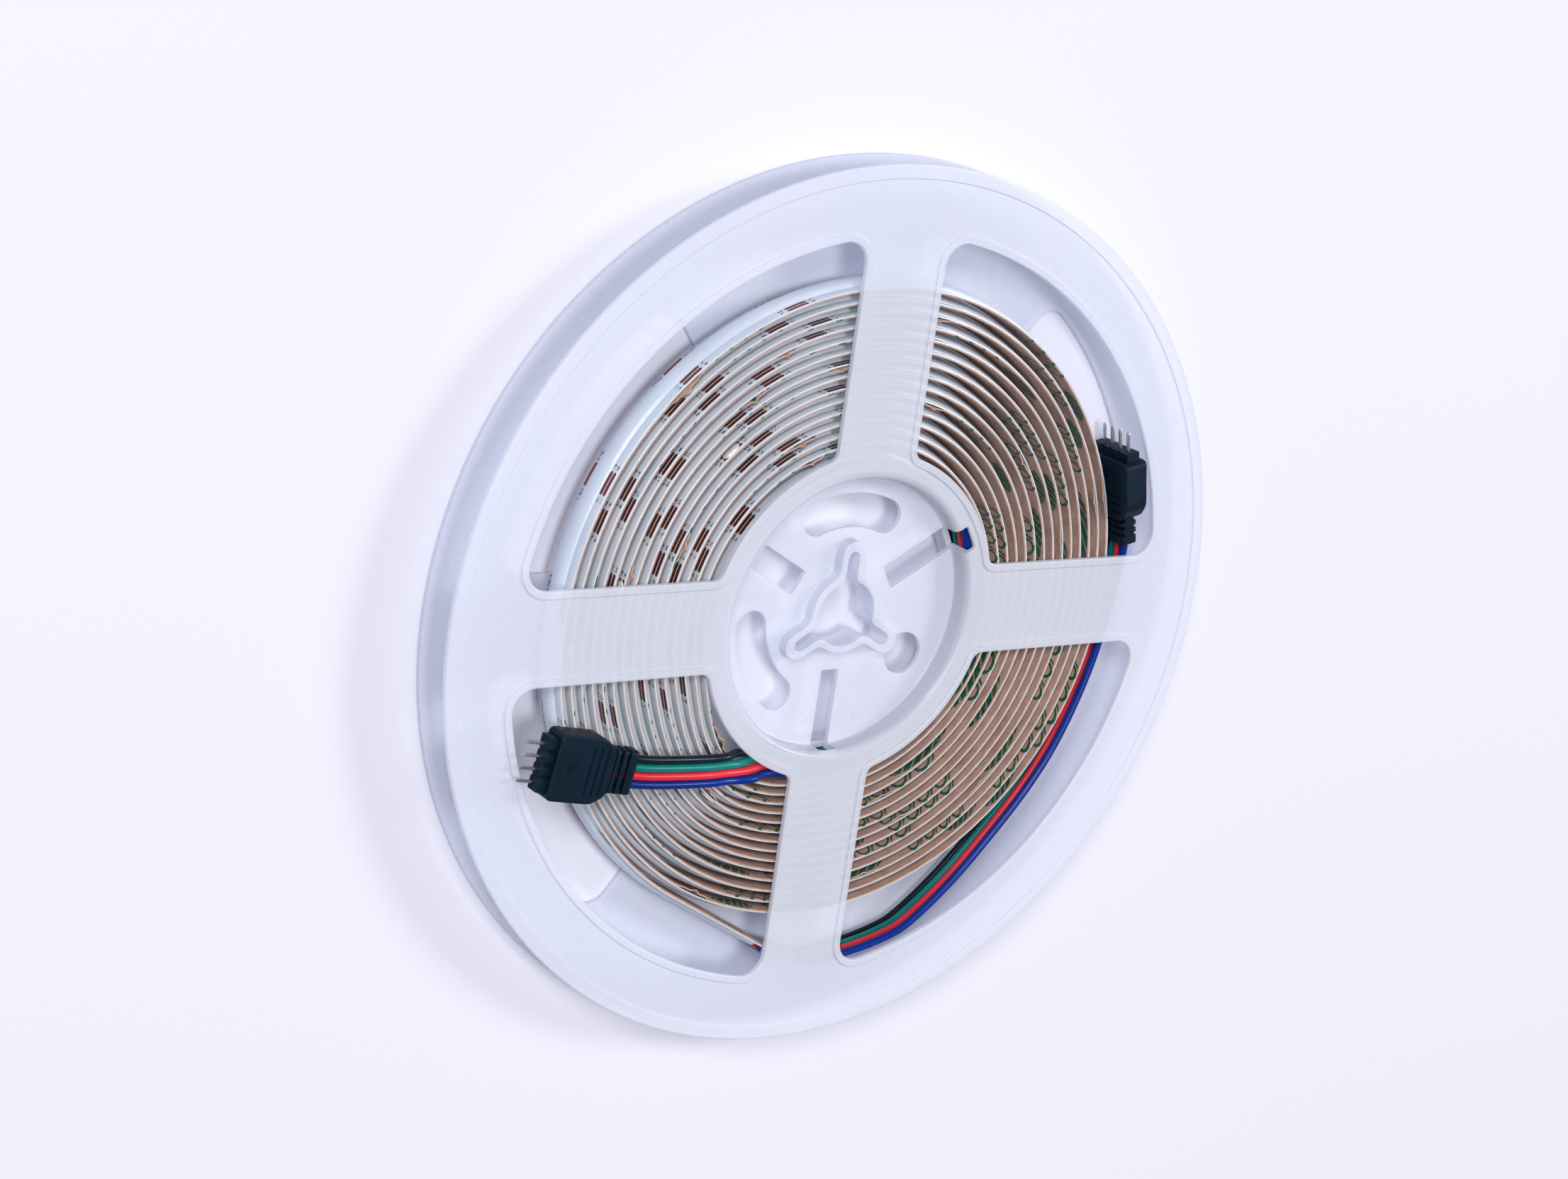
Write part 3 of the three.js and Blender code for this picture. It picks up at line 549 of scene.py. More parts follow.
def grown(outline, grow):
    """A closed outline, counterclockwise, moved outwards."""
    made = []
    for i, point in enumerate(outline):
        ahead = (outline[(i + 1) % len(outline)] - point).normalized()
        behind = (point - outline[i - 1]).normalized()
        along = (ahead + behind).normalized()
        stretch = 1 / max(0.5, along.dot(ahead))
        made.append(point + Vector((along.y, -along.x)) * grow * stretch)
    return made


def softened(outline, passes):
    """A closed outline with its corners eased."""
    for _ in range(passes):
        around = zip(outline[-1:] + outline[:-1], outline, outline[1:] + outline[:1])
        outline = [(before + here * 2 + after) / 4 for before, here, after in around]
    return outline


def window_outline(grow, far_degrees, far_inset):
    """One window of a flange, from the spoke along +X round to a straight side at an angle."""
    near_side = SPOKE_WIDTH / 2 - grow
    far_side = far_inset - grow
    outer = WINDOW_OUTER_RADIUS + grow
    inner = RING_RADIUS - grow
    outer_corner = WINDOW_OUTER_CORNER + grow
    inner_corner = WINDOW_INNER_CORNER + grow
    outer_middle = outer - outer_corner
    inner_middle = inner + inner_corner
    near_outer = math.degrees(math.asin((near_side + outer_corner) / outer_middle))
    far_outer = far_degrees - math.degrees(math.asin((far_side + outer_corner) / outer_middle))
    near_inner = math.degrees(math.asin((near_side + inner_corner) / inner_middle))
    far_inner = far_degrees - math.degrees(math.asin((far_side + inner_corner) / inner_middle))
    across = far_degrees + 90
    return [
        *arc(polar(outer_middle, near_outer), outer_corner, -90, near_outer, 9),
        *arc(AXIS, outer, near_outer, far_outer, 32)[1:-1],
        *arc(polar(outer_middle, far_outer), outer_corner, far_outer, across, 9),
        *arc(polar(inner_middle, far_inner), inner_corner, across, far_inner + 180, 7),
        *arc(AXIS, inner, far_inner, near_inner, 20)[1:-1],
        *arc(polar(inner_middle, near_inner), inner_corner, 180 + near_inner, 270, 7),
    ]


def turned(outline, degrees):
    turn = Matrix.Rotation(math.radians(degrees), 2)
    return [turn @ p for p in outline]


def front_window(grow, quarter):
    return turned(window_outline(grow, 90, SPOKE_WIDTH / 2), 90 * quarter)


def rear_window(grow, quarter):
    """The rear windows end well before the Y axis, which leaves two broad plain fields."""
    outline = window_outline(grow, REAR_WINDOW_DEGREES, 0)
    if quarter % 2:
        outline = [Vector((-p.x, p.y)) for p in reversed(outline)]
    return turned(outline, 180 * (quarter // 2))


def star(radius, width, reach, grow):
    """A disc with three lobes that have round ends."""
    disc = radius + grow
    half = width / 2 + grow
    turn = math.degrees(math.asin(half / disc))
    points = []
    for angle in KEYWAY_ANGLES:
        tip = polar(reach - width / 2, angle)
        near = [polar(disc, angle - turn), polar(disc, angle + turn)]
        far = [tip + polar(half, angle - 90), tip + polar(half, angle + 90)]
        points += [near[0].lerp(far[0], i / 6) for i in range(6)]
        points += arc(tip, half, angle - 90, angle + 90, 14)
        points += [far[1].lerp(near[1], i / 6) for i in range(1, 7)]
        points += arc(AXIS, disc, angle + turn, angle + 120 - turn, 16)[1:-1]
    return softened(points, 3)


def kidney(middle, grow):
    """A slot that bends round the axis, with round ends."""
    half_width = (KIDNEY_OUTER_RADIUS - KIDNEY_INNER_RADIUS) / 2
    center = KIDNEY_INNER_RADIUS + half_width
    half = KIDNEY_DEGREES / 2 - math.degrees(half_width / center)
    low = middle - half
    high = middle + half
    radius = half_width + grow
    return [
        *arc(AXIS, center + radius, low, high, 28),
        *arc(polar(center, high), radius, high, high + 180, 14)[1:-1],
        *arc(AXIS, center - radius, high, low, 28),
        *arc(polar(center, low), radius, low + 180, low + 360, 14)[1:-1],
    ]


# Meshes


class Shell:
    """Closed surfaces made of rings of points, in millimetres."""

    def __init__(self):
        self.points = []
        self.faces = []

    def ring(self, outline, height=None):
        start = len(self.points)
        flat = height is not None
        self.points += [Vector((p.x, p.y, height)) if flat else Vector(p) for p in outline]
        return list(range(start, len(self.points)))

    def bridge(self, first, second):
        for i in range(len(first)):
            self.faces.append((first[i - 1], first[i], second[i], second[i - 1]))

    def sweep(self, outline, path):
        """Joins rings of outline(grow) at each (grow, height) of a path. Gives the end rings."""
        rings = [self.ring(outline(grow), height) for grow, height in path]
        for first, second in zip(rings, rings[1:]):
            self.bridge(first, second)
        return rings[0], rings[-1]

    def cap(self, *loops):
        """Fills a flat outline that has any holes after it."""
        flat = [i for loop in loops for i in loop]
        for triangle in tessellate_polygon([[self.points[i] for i in loop] for loop in loops]):
            self.faces.append([flat[i] for i in triangle])

    def tube(self, rings):
        """Joins rings into a closed body."""
        for first, second in zip(rings, rings[1:]):
            self.bridge(first, second)
        self.faces += [rings[0], rings[-1]]

    def slab(self, outline, bottom, top, edge, holes=()):
        """A plate with rounded edges, and holes with rounded edges."""
        margin = edge + 0.1
        loops = []
        for line, inset in [(outline, -margin), *((hole, margin) for hole in holes)]:
            path = profile([(inset, bottom), (0, bottom), (0, top), (inset, top)], [edge, edge])
            loops.append(self.sweep(lambda grow, line=line: grown(line, grow), path))
        self.cap(*(loop[0] for loop in loops))
        self.cap(*(loop[1] for loop in loops))

    def mesh(self, name, place=Matrix.Identity(4)):
        made = bpy.data.meshes.new(name)
        made.from_pydata([(place @ p) * MM for p in self.points], [], self.faces)
        work = bmesh.new()
        work.from_mesh(made)
        bmesh.ops.recalc_face_normals(work, faces=work.faces)
        work.to_mesh(made)
        work.free()
        return made


def shaded(mesh, sharp_degrees):
    mesh.shade_smooth()
    mesh.set_sharp_from_angle(angle=math.radians(sharp_degrees))
    return mesh


def loose(mesh):
    made = bpy.data.objects.new(mesh.name, mesh)
    bpy.context.scene.collection.objects.link(made)
    return made


def combined(mesh, others, operation):
    """A mesh after it is joined with others or cut by them."""
    for other in others:
        base = loose(mesh)
        tool = loose(other)
        step = base.modifiers.new("step", "BOOLEAN")
        step.operation = operation
        step.solver = "EXACT"
        step.object = tool
        graph = bpy.context.evaluated_depsgraph_get()
        mesh = bpy.data.meshes.new_from_object(base.evaluated_get(graph))
        bpy.data.objects.remove(base)
        bpy.data.objects.remove(tool)
    return mesh


def add_piece(name, mesh, material, slot, nodes=(), sharp_degrees=40, flat_faces=False):
    """Adds a piece that rides on the reel and takes the place of its solids."""
    piece = loose(shaded(mesh, sharp_degrees))
    piece.name = name
    mesh.materials.clear()
    mesh.materials.append(material)
    if flat_faces:
        weighted = piece.modifiers.new("flat_faces", "WEIGHTED_NORMAL")
        weighted.keep_sharp = True
    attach(piece, "root")
    if nodes:
        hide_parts(*nodes)
    return piece


# Spool


def add_flange(shell, inner_face, outward, window, hub_rings):
    """A flange from its inner face out to its rims, with the hub's rings at its middle."""

    def path(points, radii):
        return profile([(grow, inner_face + outward * rise) for grow, rise in points], radii)

    top, step = FLANGE_THICKNESS, SHEET_THICKNESS
    width = LIP_WIDTH
    lip = path(
        [(-0.6, 0), (0, 0), (0, top), (-width, top), (-width, step), (-width - 0.5, step)],
        [0.2, 0.35, 0.3, 0.25],
    )
    width = WINDOW_RIM_WIDTH
    rim = path(
        [(width + 0.5, step), (width, step), (width, top), (0, top), (0, 0), (0.6, 0)],
        [0.2, 0.3, 0.35, 0.2],
    )
    edge = shell.sweep(lambda grow: circle(FLANGE_RADIUS + grow, FLANGE_SIDES), lip)
    windows = [shell.sweep(lambda grow, k=k: window(grow, k), rim) for k in range(4)]
    shell.cap(edge[1], *(window[0] for window in windows), hub_rings[0])
    shell.cap(edge[0], *(window[1] for window in windows), hub_rings[1])


def hub_circle(radius):
    return circle(radius, HUB_SIDES)


def add_web(shell, top_ring, bottom_ring):
    """The web with its holes, and the boss that stands out on both sides of it."""
    top_holes = []
    bottom_holes = []
    through = profile(
        [(0.25, WEB_TOP), (0, WEB_TOP), (0, WEB_BOTTOM), (0.25, WEB_BOTTOM)], [0.18, 0.18]
    )
    drive_hole = polar(*DRIVE_HOLE_PLACE)
    outlines = [lambda grow, k=k: kidney(k, grow) for k in KIDNEY_ANGLES]
    outlines.append(lambda grow: circle(DRIVE_HOLE_RADIUS + grow, 48, drive_hole))
    for outline in outlines:
        top, bottom = shell.sweep(outline, through)
        top_holes.append(top)
        bottom_holes.append(bottom)
    for x, y in EJECTOR_PLACES:
        floor = WEB_TOP - EJECTOR_DEPTH
        dent = profile([(0.1, WEB_TOP), (0, WEB_TOP), (0, floor), (-0.2, floor)], [0.05, 0.05])
        top, bottom = shell.sweep(
            lambda grow, x=x, y=y: circle(EJECTOR_RADIUS + grow, 28, Vector((x, y))), dent
        )
        top_holes.append(top)
        shell.cap(bottom)

    def outer(grow):
        return star(BOSS_RADIUS, LOBE_WIDTH, LOBE_REACH, grow)

    def inner(grow):
        return star(ARBOR_RADIUS, KEYWAY_WIDTH, KEYWAY_REACH, grow)

    up = [(0.25, WEB_TOP), (0, WEB_TOP), (0, BOSS_TOP), (-BOSS_WALL, BOSS_TOP)]
    down = [(0.25, WEB_BOTTOM), (0, WEB_BOTTOM), (0, BOSS_BOTTOM), (-BOSS_WALL, BOSS_BOTTOM)]
    bore = [(BORE_MOUTH, BOSS_TOP), (0, BOSS_TOP), (0, BOSS_BOTTOM), (BORE_MOUTH, BOSS_BOTTOM)]
    upper = shell.sweep(outer, profile(up, [0.22, 0.6], 4))
    lower = shell.sweep(outer, profile(down, [0.22, 0.6], 4))
    hole = shell.sweep(inner, profile(bore, [0.4, 0.4], 4))
    shell.cap(upper[1], hole[0])
    shell.cap(lower[1], hole[1])
    shell.cap(top_ring, upper[0], *top_holes)
    shell.cap(bottom_ring, lower[0], *bottom_holes)


def slot_cutter(degrees, width, outer, top):
    shell = Shell()
    length = outer - SLOT_INNER_RADIUS
    outline = box_outline(length, width, SLOT_CORNER, (SLOT_INNER_RADIUS + length / 2, 0))
    turn = Matrix.Rotation(math.radians(degrees), 4, "Z")
    bottom = shell.ring(outline, WEB_BOTTOM - 1)
    top_ring = shell.ring(outline, top)
    shell.tube([bottom, top_ring])
    return shell.mesh("slot", turn)


def front_half():
    shell = Shell()
    face = FRONT_INNER + SHEET_THICKNESS
    cup = [(CUP_MOUTH_RADIUS, face), (HUB_BORE_RADIUS, face)]
    cup += [(HUB_BORE_RADIUS, WEB_TOP), (WEB_TOP_RADIUS, WEB_TOP)]
    wall = [(WALL_FOOT_RADIUS, FRONT_INNER), (HUB_RADIUS, FRONT_INNER)]
    wall += [(HUB_RADIUS, WEB_BOTTOM), (WEB_BOTTOM_RADIUS, WEB_BOTTOM)]
    cup_rings = shell.sweep(hub_circle, profile(cup, [1.7, 0.6], 6))
    wall_rings = shell.sweep(hub_circle, profile(wall, [0.4, 0.2]))
    add_flange(shell, FRONT_INNER, 1, front_window, (cup_rings[0], wall_rings[0]))
    add_web(shell, cup_rings[1], wall_rings[1])
    cutters = [slot_cutter(*slot) for slot in SLOTS]
    return combined(shell.mesh("spool_front_half"), cutters, "DIFFERENCE")


def rear_half():
    shell = Shell()
    face = FLANGE_THICKNESS - SHEET_THICKNESS
    wall = profile(
        [
            (CUP_MOUTH_RADIUS, face),
            (HUB_BORE_RADIUS, face),
            (HUB_BORE_RADIUS, REAR_WALL_TOP),
            (HUB_RADIUS, REAR_WALL_TOP),
            (HUB_RADIUS, FLANGE_THICKNESS),
            (WALL_FOOT_RADIUS, FLANGE_THICKNESS),
        ],
        [1.2, 0.2, 0.2, 0.4],
    )
    rings = shell.sweep(hub_circle, wall)
    add_flange(shell, FLANGE_THICKNESS, -1, rear_window, rings)
    return shell.mesh("spool_rear_half")


for end, half in (("front", front_half()), ("rear", rear_half())):
    add_piece("spool_" + end, half, MILKY, "spool_plastic", [f"spool_{end}_half"], flat_faces=True)


# Winding


def bulge(degrees):
    """How far the turns stand out where they bulge."""
    turn = (degrees - START_ANGLE) // 360
    height = max(0, BULGE_HEIGHT - BULGE_FALL_PER_TURN * turn)
    off = (degrees - BULGE_ANGLE + 180) % 360 - 180
    share = min(1, abs(off) / BULGE_HALF_ANGLE)
    return height * math.cos(share * math.pi / 2) ** 2


def coil_place(degrees):
    """A place on the circuit's inner face, and the way out there. The angle grows along it."""
    wound = (degrees - START_ANGLE) / WOUND_DEGREES
    turns = (degrees - START_ANGLE) / 360
    untucked = min(1, (degrees - START_ANGLE) / END_TUCK_ANGLE)
    tuck = END_TUCK * math.cos(untucked * math.pi / 2) ** 2
    radius = COIL_START_RADIUS + TURN_PITCH * turns + bulge(degrees) - tuck
    return polar(radius, degrees) + COIL_SETTLE * wound, polar(1, degrees)


class Path:
    """The strip's line, with a place and a way out at each distance along it."""

    def __init__(self, places):
        self.places = places
        self.runs = [0]
        for (before, _), (here, _) in zip(places, places[1:]):
            self.runs.append(self.runs[-1] + (here - before).length)
        self.length = self.runs[-1]

    def at(self, run):
        i = min(max(bisect_right(self.runs, run), 1), len(self.runs) - 1)
        share = (run - self.runs[i - 1]) / (self.runs[i] - self.runs[i - 1])
        before, here = self.places[i - 1], self.places[i]
        return before[0].lerp(here[0], share), before[1].lerp(here[1], share)

    def spot(self, run, outwards, height):
        place, normal = self.at(run)
        place = place + normal * outwards
        return Vector((place.x, place.y, height))


def strip_path():
    steps = round(WOUND_DEGREES / COIL_STEP)
    places = [coil_place(START_ANGLE + COIL_STEP * i) for i in range(steps + 1)]
    last, normal = places[-1]
    along = polar(1, END_ANGLE + 90)
    for i in range(1, TAIL_STEPS + 1):
        places.append((last + along * TAIL_LENGTH * i / TAIL_STEPS, normal))
    return Path(places)


PATH = strip_path()
TURN_STARTS = range(PAD_SHIFT_ANGLE, round(END_ANGLE), 360)
TURN_RUNS = [PATH.runs[round((angle - START_ANGLE) / COIL_STEP)] for angle in TURN_STARTS]


def printed_place(run):
    """The distance from a pad, as the strip is printed, at a distance along the strip."""
    inwards = len(TURN_RUNS) - bisect_right(TURN_RUNS, run)
    return run - PAD_PLACE - PAD_SHIFT * inwards - PAD_SHIFT_GROWTH * inwards**2


def add_band(name, runs, section, material, slot, node):
    """A band along the strip. The section gives its points at a distance along it."""
    shell = Shell()
    on_strip = []
    rings = []
    for run in runs:
        spots = section(run)
        rings.append(shell.ring([PATH.spot(run, outwards, height) for outwards, height in spots]))
        on_strip += [value for _, height in spots for value in (printed_place(run), height, 0)]
    shell.tube(rings)
    mesh = shell.mesh(name)
    mesh.attributes.new("on_strip", "FLOAT_VECTOR", "POINT").data.foreach_set("vector", on_strip)
    return add_piece(name, mesh, material, slot, [node], 50)


def strip_section(_run):
    flat = CIRCUIT_THICKNESS
    edge = EDGE_ROUNDING
    dome = []
    for i in range(DOME_STEPS + 1):
        turn = math.pi * i / DOME_STEPS
        rise = (STRIP_DEPTH - flat) * math.sin(turn)
        dome.append((flat + rise, DOME_MIDDLE - DOME_HALF_WIDTH * math.cos(turn)))
    return [
        (CIRCUIT_BACK, STRIP_BOTTOM),
        (flat - edge, STRIP_BOTTOM),
        (flat, STRIP_BOTTOM + edge),
        *dome,
        (flat, STRIP_TOP - edge),
        (flat - edge, STRIP_TOP),
        (CIRCUIT_BACK, STRIP_TOP),
    ]


# Creases where the liner has come off the strip: distance along it, length, depth and rise
CREASES = [
    (64.3, 4, 0.8, 0.3),
    (94.6, 5, 1.1, 0.45),
    (248.6, 3, 0.7, 0.3),
    (284, 3, 0.7, 0.2),
    (727.4, 4, 0.8, 0.35),
    (1073.4, 4, 0.9, 0.4),
    (1119.4, 4, 0.9, 0.4),
    (1228, 3, 0.7, 0.3),
    (1295, 4, 0.8, 0.4),
    (1785.4, 3, 0.7, 0.3),
    (2007, 4, 0.9, 0.45),
    (2155.8, 4, 0.8, 0.35),
    (2403.4, 3, 0.7, 0.3),
    (2506.4, 4, 0.8, 0.4),
    (2548.2, 3, 0.7, 0.35),
    (3040.2, 5, 1.0, 0.45),
    (3200.8, 3, 0.7, 0.3),
    (3373.4, 4, 0.8, 0.35),
    (3537.2, 3, 0.7, 0.35),
    (3857.6, 4, 0.8, 0.4),
    (4104, 5, 0.9, 0.45),
    (4256, 5, 0.8, 0.4),
    (4387.2, 5, 1.2, 0.45),
]
CREASE_STEPS = 10
LINER_ROWS = 8


def crease(run, height):
    """How far the liner stands off the strip, towards the axis, and how far it rises."""
    off_strip = 0
    up = 0
    for middle, length, depth, rise in CREASES:
        along = (run - middle) / length
        if abs(along) < 1:
            share = max(0, (height - STRIP_MIDDLE) / (LINER_TOP - STRIP_MIDDLE)) ** 3
            crumple = (1 - abs(along)) * (0.75 + 0.25 * math.cos(11 * along))
            off_strip += depth * share * crumple
            up += rise * share * crumple
    return off_strip, up


def liner_section(run):
    spots = []
    for i in range(LINER_ROWS + 1):
        height = LINER_BOTTOM + (LINER_TOP - LINER_BOTTOM) * i / LINER_ROWS
        off_strip, up = crease(run, height)
        spots.append((-off_strip, height + up))
    back = [(LINER_BACK + out, height) for out, height in spots]
    front = [(LINER_FRONT + out, height) for out, height in reversed(spots)]
    return back + front


liner_runs = list(PATH.runs)
for middle, length, _, _ in CREASES:
    liner_runs += [middle + length * (2 * i / CREASE_STEPS - 1) for i in range(CREASE_STEPS + 1)]

add_band("strip", PATH.runs, strip_section, STRIP_WHITE, "strip_silicone", "led_strip")
add_band("liner", sorted(liner_runs), liner_section, LINER, "liner_paper", "release_liner")


def add_pad(shell, run, row, length, width, rise):
    """A pad with round ends on the strip's outer face. A thick one is domed."""
    rings = []
    half = width / 2
    foot = CIRCUIT_THICKNESS - 0.01
    section = [(0, -1), (0.62, -0.88), (0.92, -0.5), (1, 0), (0.92, 0.5), (0.62, 0.88), (0, 1)]
    for i in range(PAD_STEPS + 1):
        t = -math.cos(math.pi * i / PAD_STEPS)
        along = t * length / 2
        past = max(0, abs(along) - (length / 2 - half)) / half
        reach = half * math.sqrt(max(0.04, 1 - past * past))
        spots = [(foot + rise * out * reach / half, row + reach * side) for out, side in section]
        rings.append(shell.ring([PATH.spot(run + along, out, height) for out, height in spots]))
    shell.tube(rings)


def pad_places():
    """Each pad's number and its distance along the strip."""
    edges = [PAD_LENGTH / 2, *TURN_RUNS, PATH.length - PAD_LENGTH / 2]
    for start, end in zip(edges, edges[1:]):
        shift = start + 0.01 - printed_place(start + 0.01)
        first = math.ceil((start - shift) / PAD_PITCH)
        last = math.floor((end - shift) / PAD_PITCH)
        for number in range(first, last + 1):
            yield number, shift + PAD_PITCH * number


pads = Shell()
solder = Shell()
for number, run in pad_places():
    for row in PAD_ROWS:
        add_pad(pads, run, row, PAD_LENGTH, PAD_WIDTH, PAD_RISE)
    if (number - SOLDER_PAD) % SOLDER_EVERY == 0:
        for row, width in SOLDER_BLOBS:
            add_pad(solder, run, row, SOLDER_LENGTH, width, SOLDER_RISE)
add_piece("strip_pads", pads.mesh("strip_pads"), COPPER, "strip_silicone")
add_piece("strip_solder", solder.mesh("strip_solder"), SOLDER, "pin_metal")


# Leads


def centripetal(points, spacing):
    """A smooth line through the points, with places about spacing apart."""
    first = points[0] * 2 - points[1]
    last = points[-1] * 2 - points[-2]
    around = [first, *points, last]
    made = [points[0]]
    for p0, p1, p2, p3 in zip(around, around[1:], around[2:], around[3:]):
        d0, d1, d2 = (math.sqrt((b - a).length) for a, b in ((p0, p1), (p1, p2), (p2, p3)))
        t1 = ((p1 - p0) / d0 - (p2 - p0) / (d0 + d1) + (p2 - p1) / d1) * d1
        t2 = ((p2 - p1) / d1 - (p3 - p1) / (d1 + d2) + (p3 - p2) / d2) * d1
        steps = max(1, round((p2 - p1).length / spacing))
        for i in range(1, steps + 1):
            t = i / steps
            cubic = (p1 - p2) * 2 + t1 + t2
            square = (p2 - p1) * 3 - t1 * 2 - t2
            made.append(p1 + t1 * t + square * t * t + cubic * t**3)
    return made


def wire_mesh(name, line):
    """A round wire along a line, whose ends are rounded."""
    shell = Shell()
    rings = []
    side = Vector((0, 0, 1))
    for i, place in enumerate(line):
        along = (line[min(i + 1, len(line) - 1)] - line[max(i - 1, 0)]).normalized()
        side = (side - along * side.dot(along)).normalized()
        other = along.cross(side)
        ends = i in (0, len(line) - 1)
        radius = WIRE_RADIUS * (0.8 if ends else 1)
        rings.append(
            shell.ring([place + side * p.x + other * p.y for p in circle(radius, WIRE_SIDES)])
        )
    shell.tube(rings)
    return shell.mesh(name)


def station(place, twist, height, across=Vector((0, 1)), limited=False):
    return place, math.radians(twist), height, across, limited


def stacked(place, height=STRIP_MIDDLE):
    return station(place, 90, height)


def climb_limit(radius):
    """How high a wire may be before it is clear of the flange's ring."""
    past = radius - CLIMB_START
    return math.inf if past > CLIMB_RUN else UNDER_FRONT + CLIMB_SLOPE * max(0, past)


def wire_line(stations, order):
    offset = (order - MIDDLE_OF_WIRES) * WIRE_PITCH
    points = []
    for middle, twist, height, across, limited in stations:
        place = middle + across * offset * math.cos(twist)
        height -= offset * math.sin(twist)
        if limited:
            height = min(height, climb_limit(place.length))
        points.append(Vector((place.x, place.y, height)))
    return centripetal(points, WIRE_STEP)


def sleeve_stations(end, end_degrees, turn):
    """The lead's first places, inside a sleeve that butts against an end of the strip."""
    place, normal = end
    middle = place + normal * STRIP_DEPTH / 2
    start = middle + polar(SLEEVE_BUTT_GAP, end_degrees)
    degrees = end_degrees + turn
    distances = [0.2, SLEEVE_LENGTH / 2, SLEEVE_LENGTH + 1]
    return start, degrees, [stacked(start + polar(distance, degrees)) for distance in distances]


def add_sleeve(name, start, degrees, node):
    shell = Shell()
    rings = []
    for inset in (0, SLEEVE_WALL):
        outline = box_outline(
            2 * (SLEEVE_HALF_HEIGHT - inset),
            2 * (SLEEVE_HALF_DEPTH - inset),
            SLEEVE_ROUNDING - inset,
        )
        rings.append([shell.ring(outline, distance) for distance in (0, SLEEVE_LENGTH)])
    for k in (0, 1):
        shell.bridge(rings[k][0], rings[k][1])
        shell.bridge(rings[0][k], rings[1][k])
    upright = Matrix(((0, 0, 1, 0), (0, 1, 0, 0), (-1, 0, 0, 0), (0, 0, 0, 1)))
    place = Matrix.Translation((start.x, start.y, STRIP_MIDDLE))
    place = place @ Matrix.Rotation(math.radians(degrees), 4, "Z") @ upright
    add_piece(name, shell.mesh(name, place), FILM, "clear_sleeve", [node])


def add_lead(side, stations):
    for order, colour in enumerate(WIRES):
        name = f"{side}_wire_{colour}"
        line = wire_line(stations, order)
        node = f"{side}_lead_{colour}"
        wire = add_piece(name, wire_mesh(name, line), WIRES[colour], "wire_" + colour, [node])
        path = [p * MM for p in line]
        length = sum((b - a).length for a, b in zip(path, path[1:]))
        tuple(path[0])


# Connectors


def upended(shell):
    """Turns a slab so that its thickness lies along X, and its outline's x and y along Y and Z."""
    shell.points = [Vector((p.z, p.x, p.y)) for p in shell.points]
    return shell


def housing_body():
    x = HOUSING_FRONT
    y = HOUSING_WIDTH / 2
    corners = [(x, y), (HOUSING_TAPER_LENGTH - x, y), (-x, y - HOUSING_TAPER)]
    corners = [(x, -y), *corners, *((a, -b) for a, b in reversed(corners[1:]))]
    shell = Shell()
    half = HOUSING_THICKNESS / 2
    shell.slab(rounded_outline(corners, 1.3, 6), -half, half, 0.55)
    return shell.mesh("body")


def housing_cutters():
    """Grooves and an arrow on both faces, and the seat of the pin header."""
    cutters = []
    arrow = [Vector(p) for p in ARROW_HEAD]
    arrow += [Vector((p.x, -p.y)) for p in reversed(arrow[1:])]
    for face in (-HOUSING_THICKNESS / 2, HOUSING_THICKNESS / 2):
        low, high = face - GROOVE_DEPTH, face + GROOVE_DEPTH
        for x in GROOVES:
            shell = Shell()
            shell.slab(box_outline(GROOVE_WIDTH, GROOVE_LENGTH, 0.24, (x, 0)), low, high, 0.08)
            cutters.append(shell.mesh("groove"))
        shell = Shell()
        ends = [face - ARROW_DEPTH, face + ARROW_DEPTH]
        shell.tube([shell.ring(arrow, height) for height in ends])
        cutters.append(shell.mesh("arrow"))
    shell = Shell()
    outline = box_outline(HEADER_WIDTH + SEAT_PLAY, HEADER_THICKNESS + SEAT_PLAY, 0.2)
    shell.slab(outline, HOUSING_FRONT - SEAT_DEPTH, HOUSING_FRONT + 1, 0.1)
    cutters.append(upended(shell).mesh("seat"))
    return cutters


def relief_parts():
    """The ribs of the strain relief and the bars between them, clear of the wires."""
    parts = []
    for x, length in RIBS:
        shell = Shell()
        outline = box_outline(RIB_WIDTH, RIB_THICKNESS, 0.9)
        hole = box_outline(*RELIEF_HOLE, 0.8)
        shell.slab(outline, x, x + length, 0.22, [hole])
        parts.append(upended(shell).mesh("rib"))
    for side in (-1, 1):
        shell = Shell()
        outline = box_outline(*RELIEF_BAR, 0.2, (side * RELIEF_BAR_PLACE, 0))
        shell.slab(outline, CABLE_FACE + 0.5, -HOUSING_FRONT + 0.6, 0.1)
        parts.append(upended(shell).mesh("bar"))
    return parts


def header_mesh():
    half_width = HEADER_WIDTH / 2
    half = HEADER_THICKNESS / 2
    side = [(half_width, half)]
    for order in (2, 1, 0):
        y = (order - 1) * PIN_SPACING
        side += [(y + HEADER_NOTCH, half), (y, half - HEADER_NOTCH), (y - HEADER_NOTCH, half)]
    side.append((-half_width, half))
    corners = side + [(-y, -z) for y, z in side]
    shell = Shell()
    bottom = HOUSING_FRONT - HEADER_SEATED
    shell.slab(rounded_outline(corners, 0.2, 3), bottom, HOUSING_FRONT + HEADER_EXPOSED, 0.16)
    return upended(shell).mesh("header")


def scaled(outline, share):
    middle = sum(outline, Vector((0, 0))) / len(outline)
    return [middle + (p - middle) * share for p in outline]


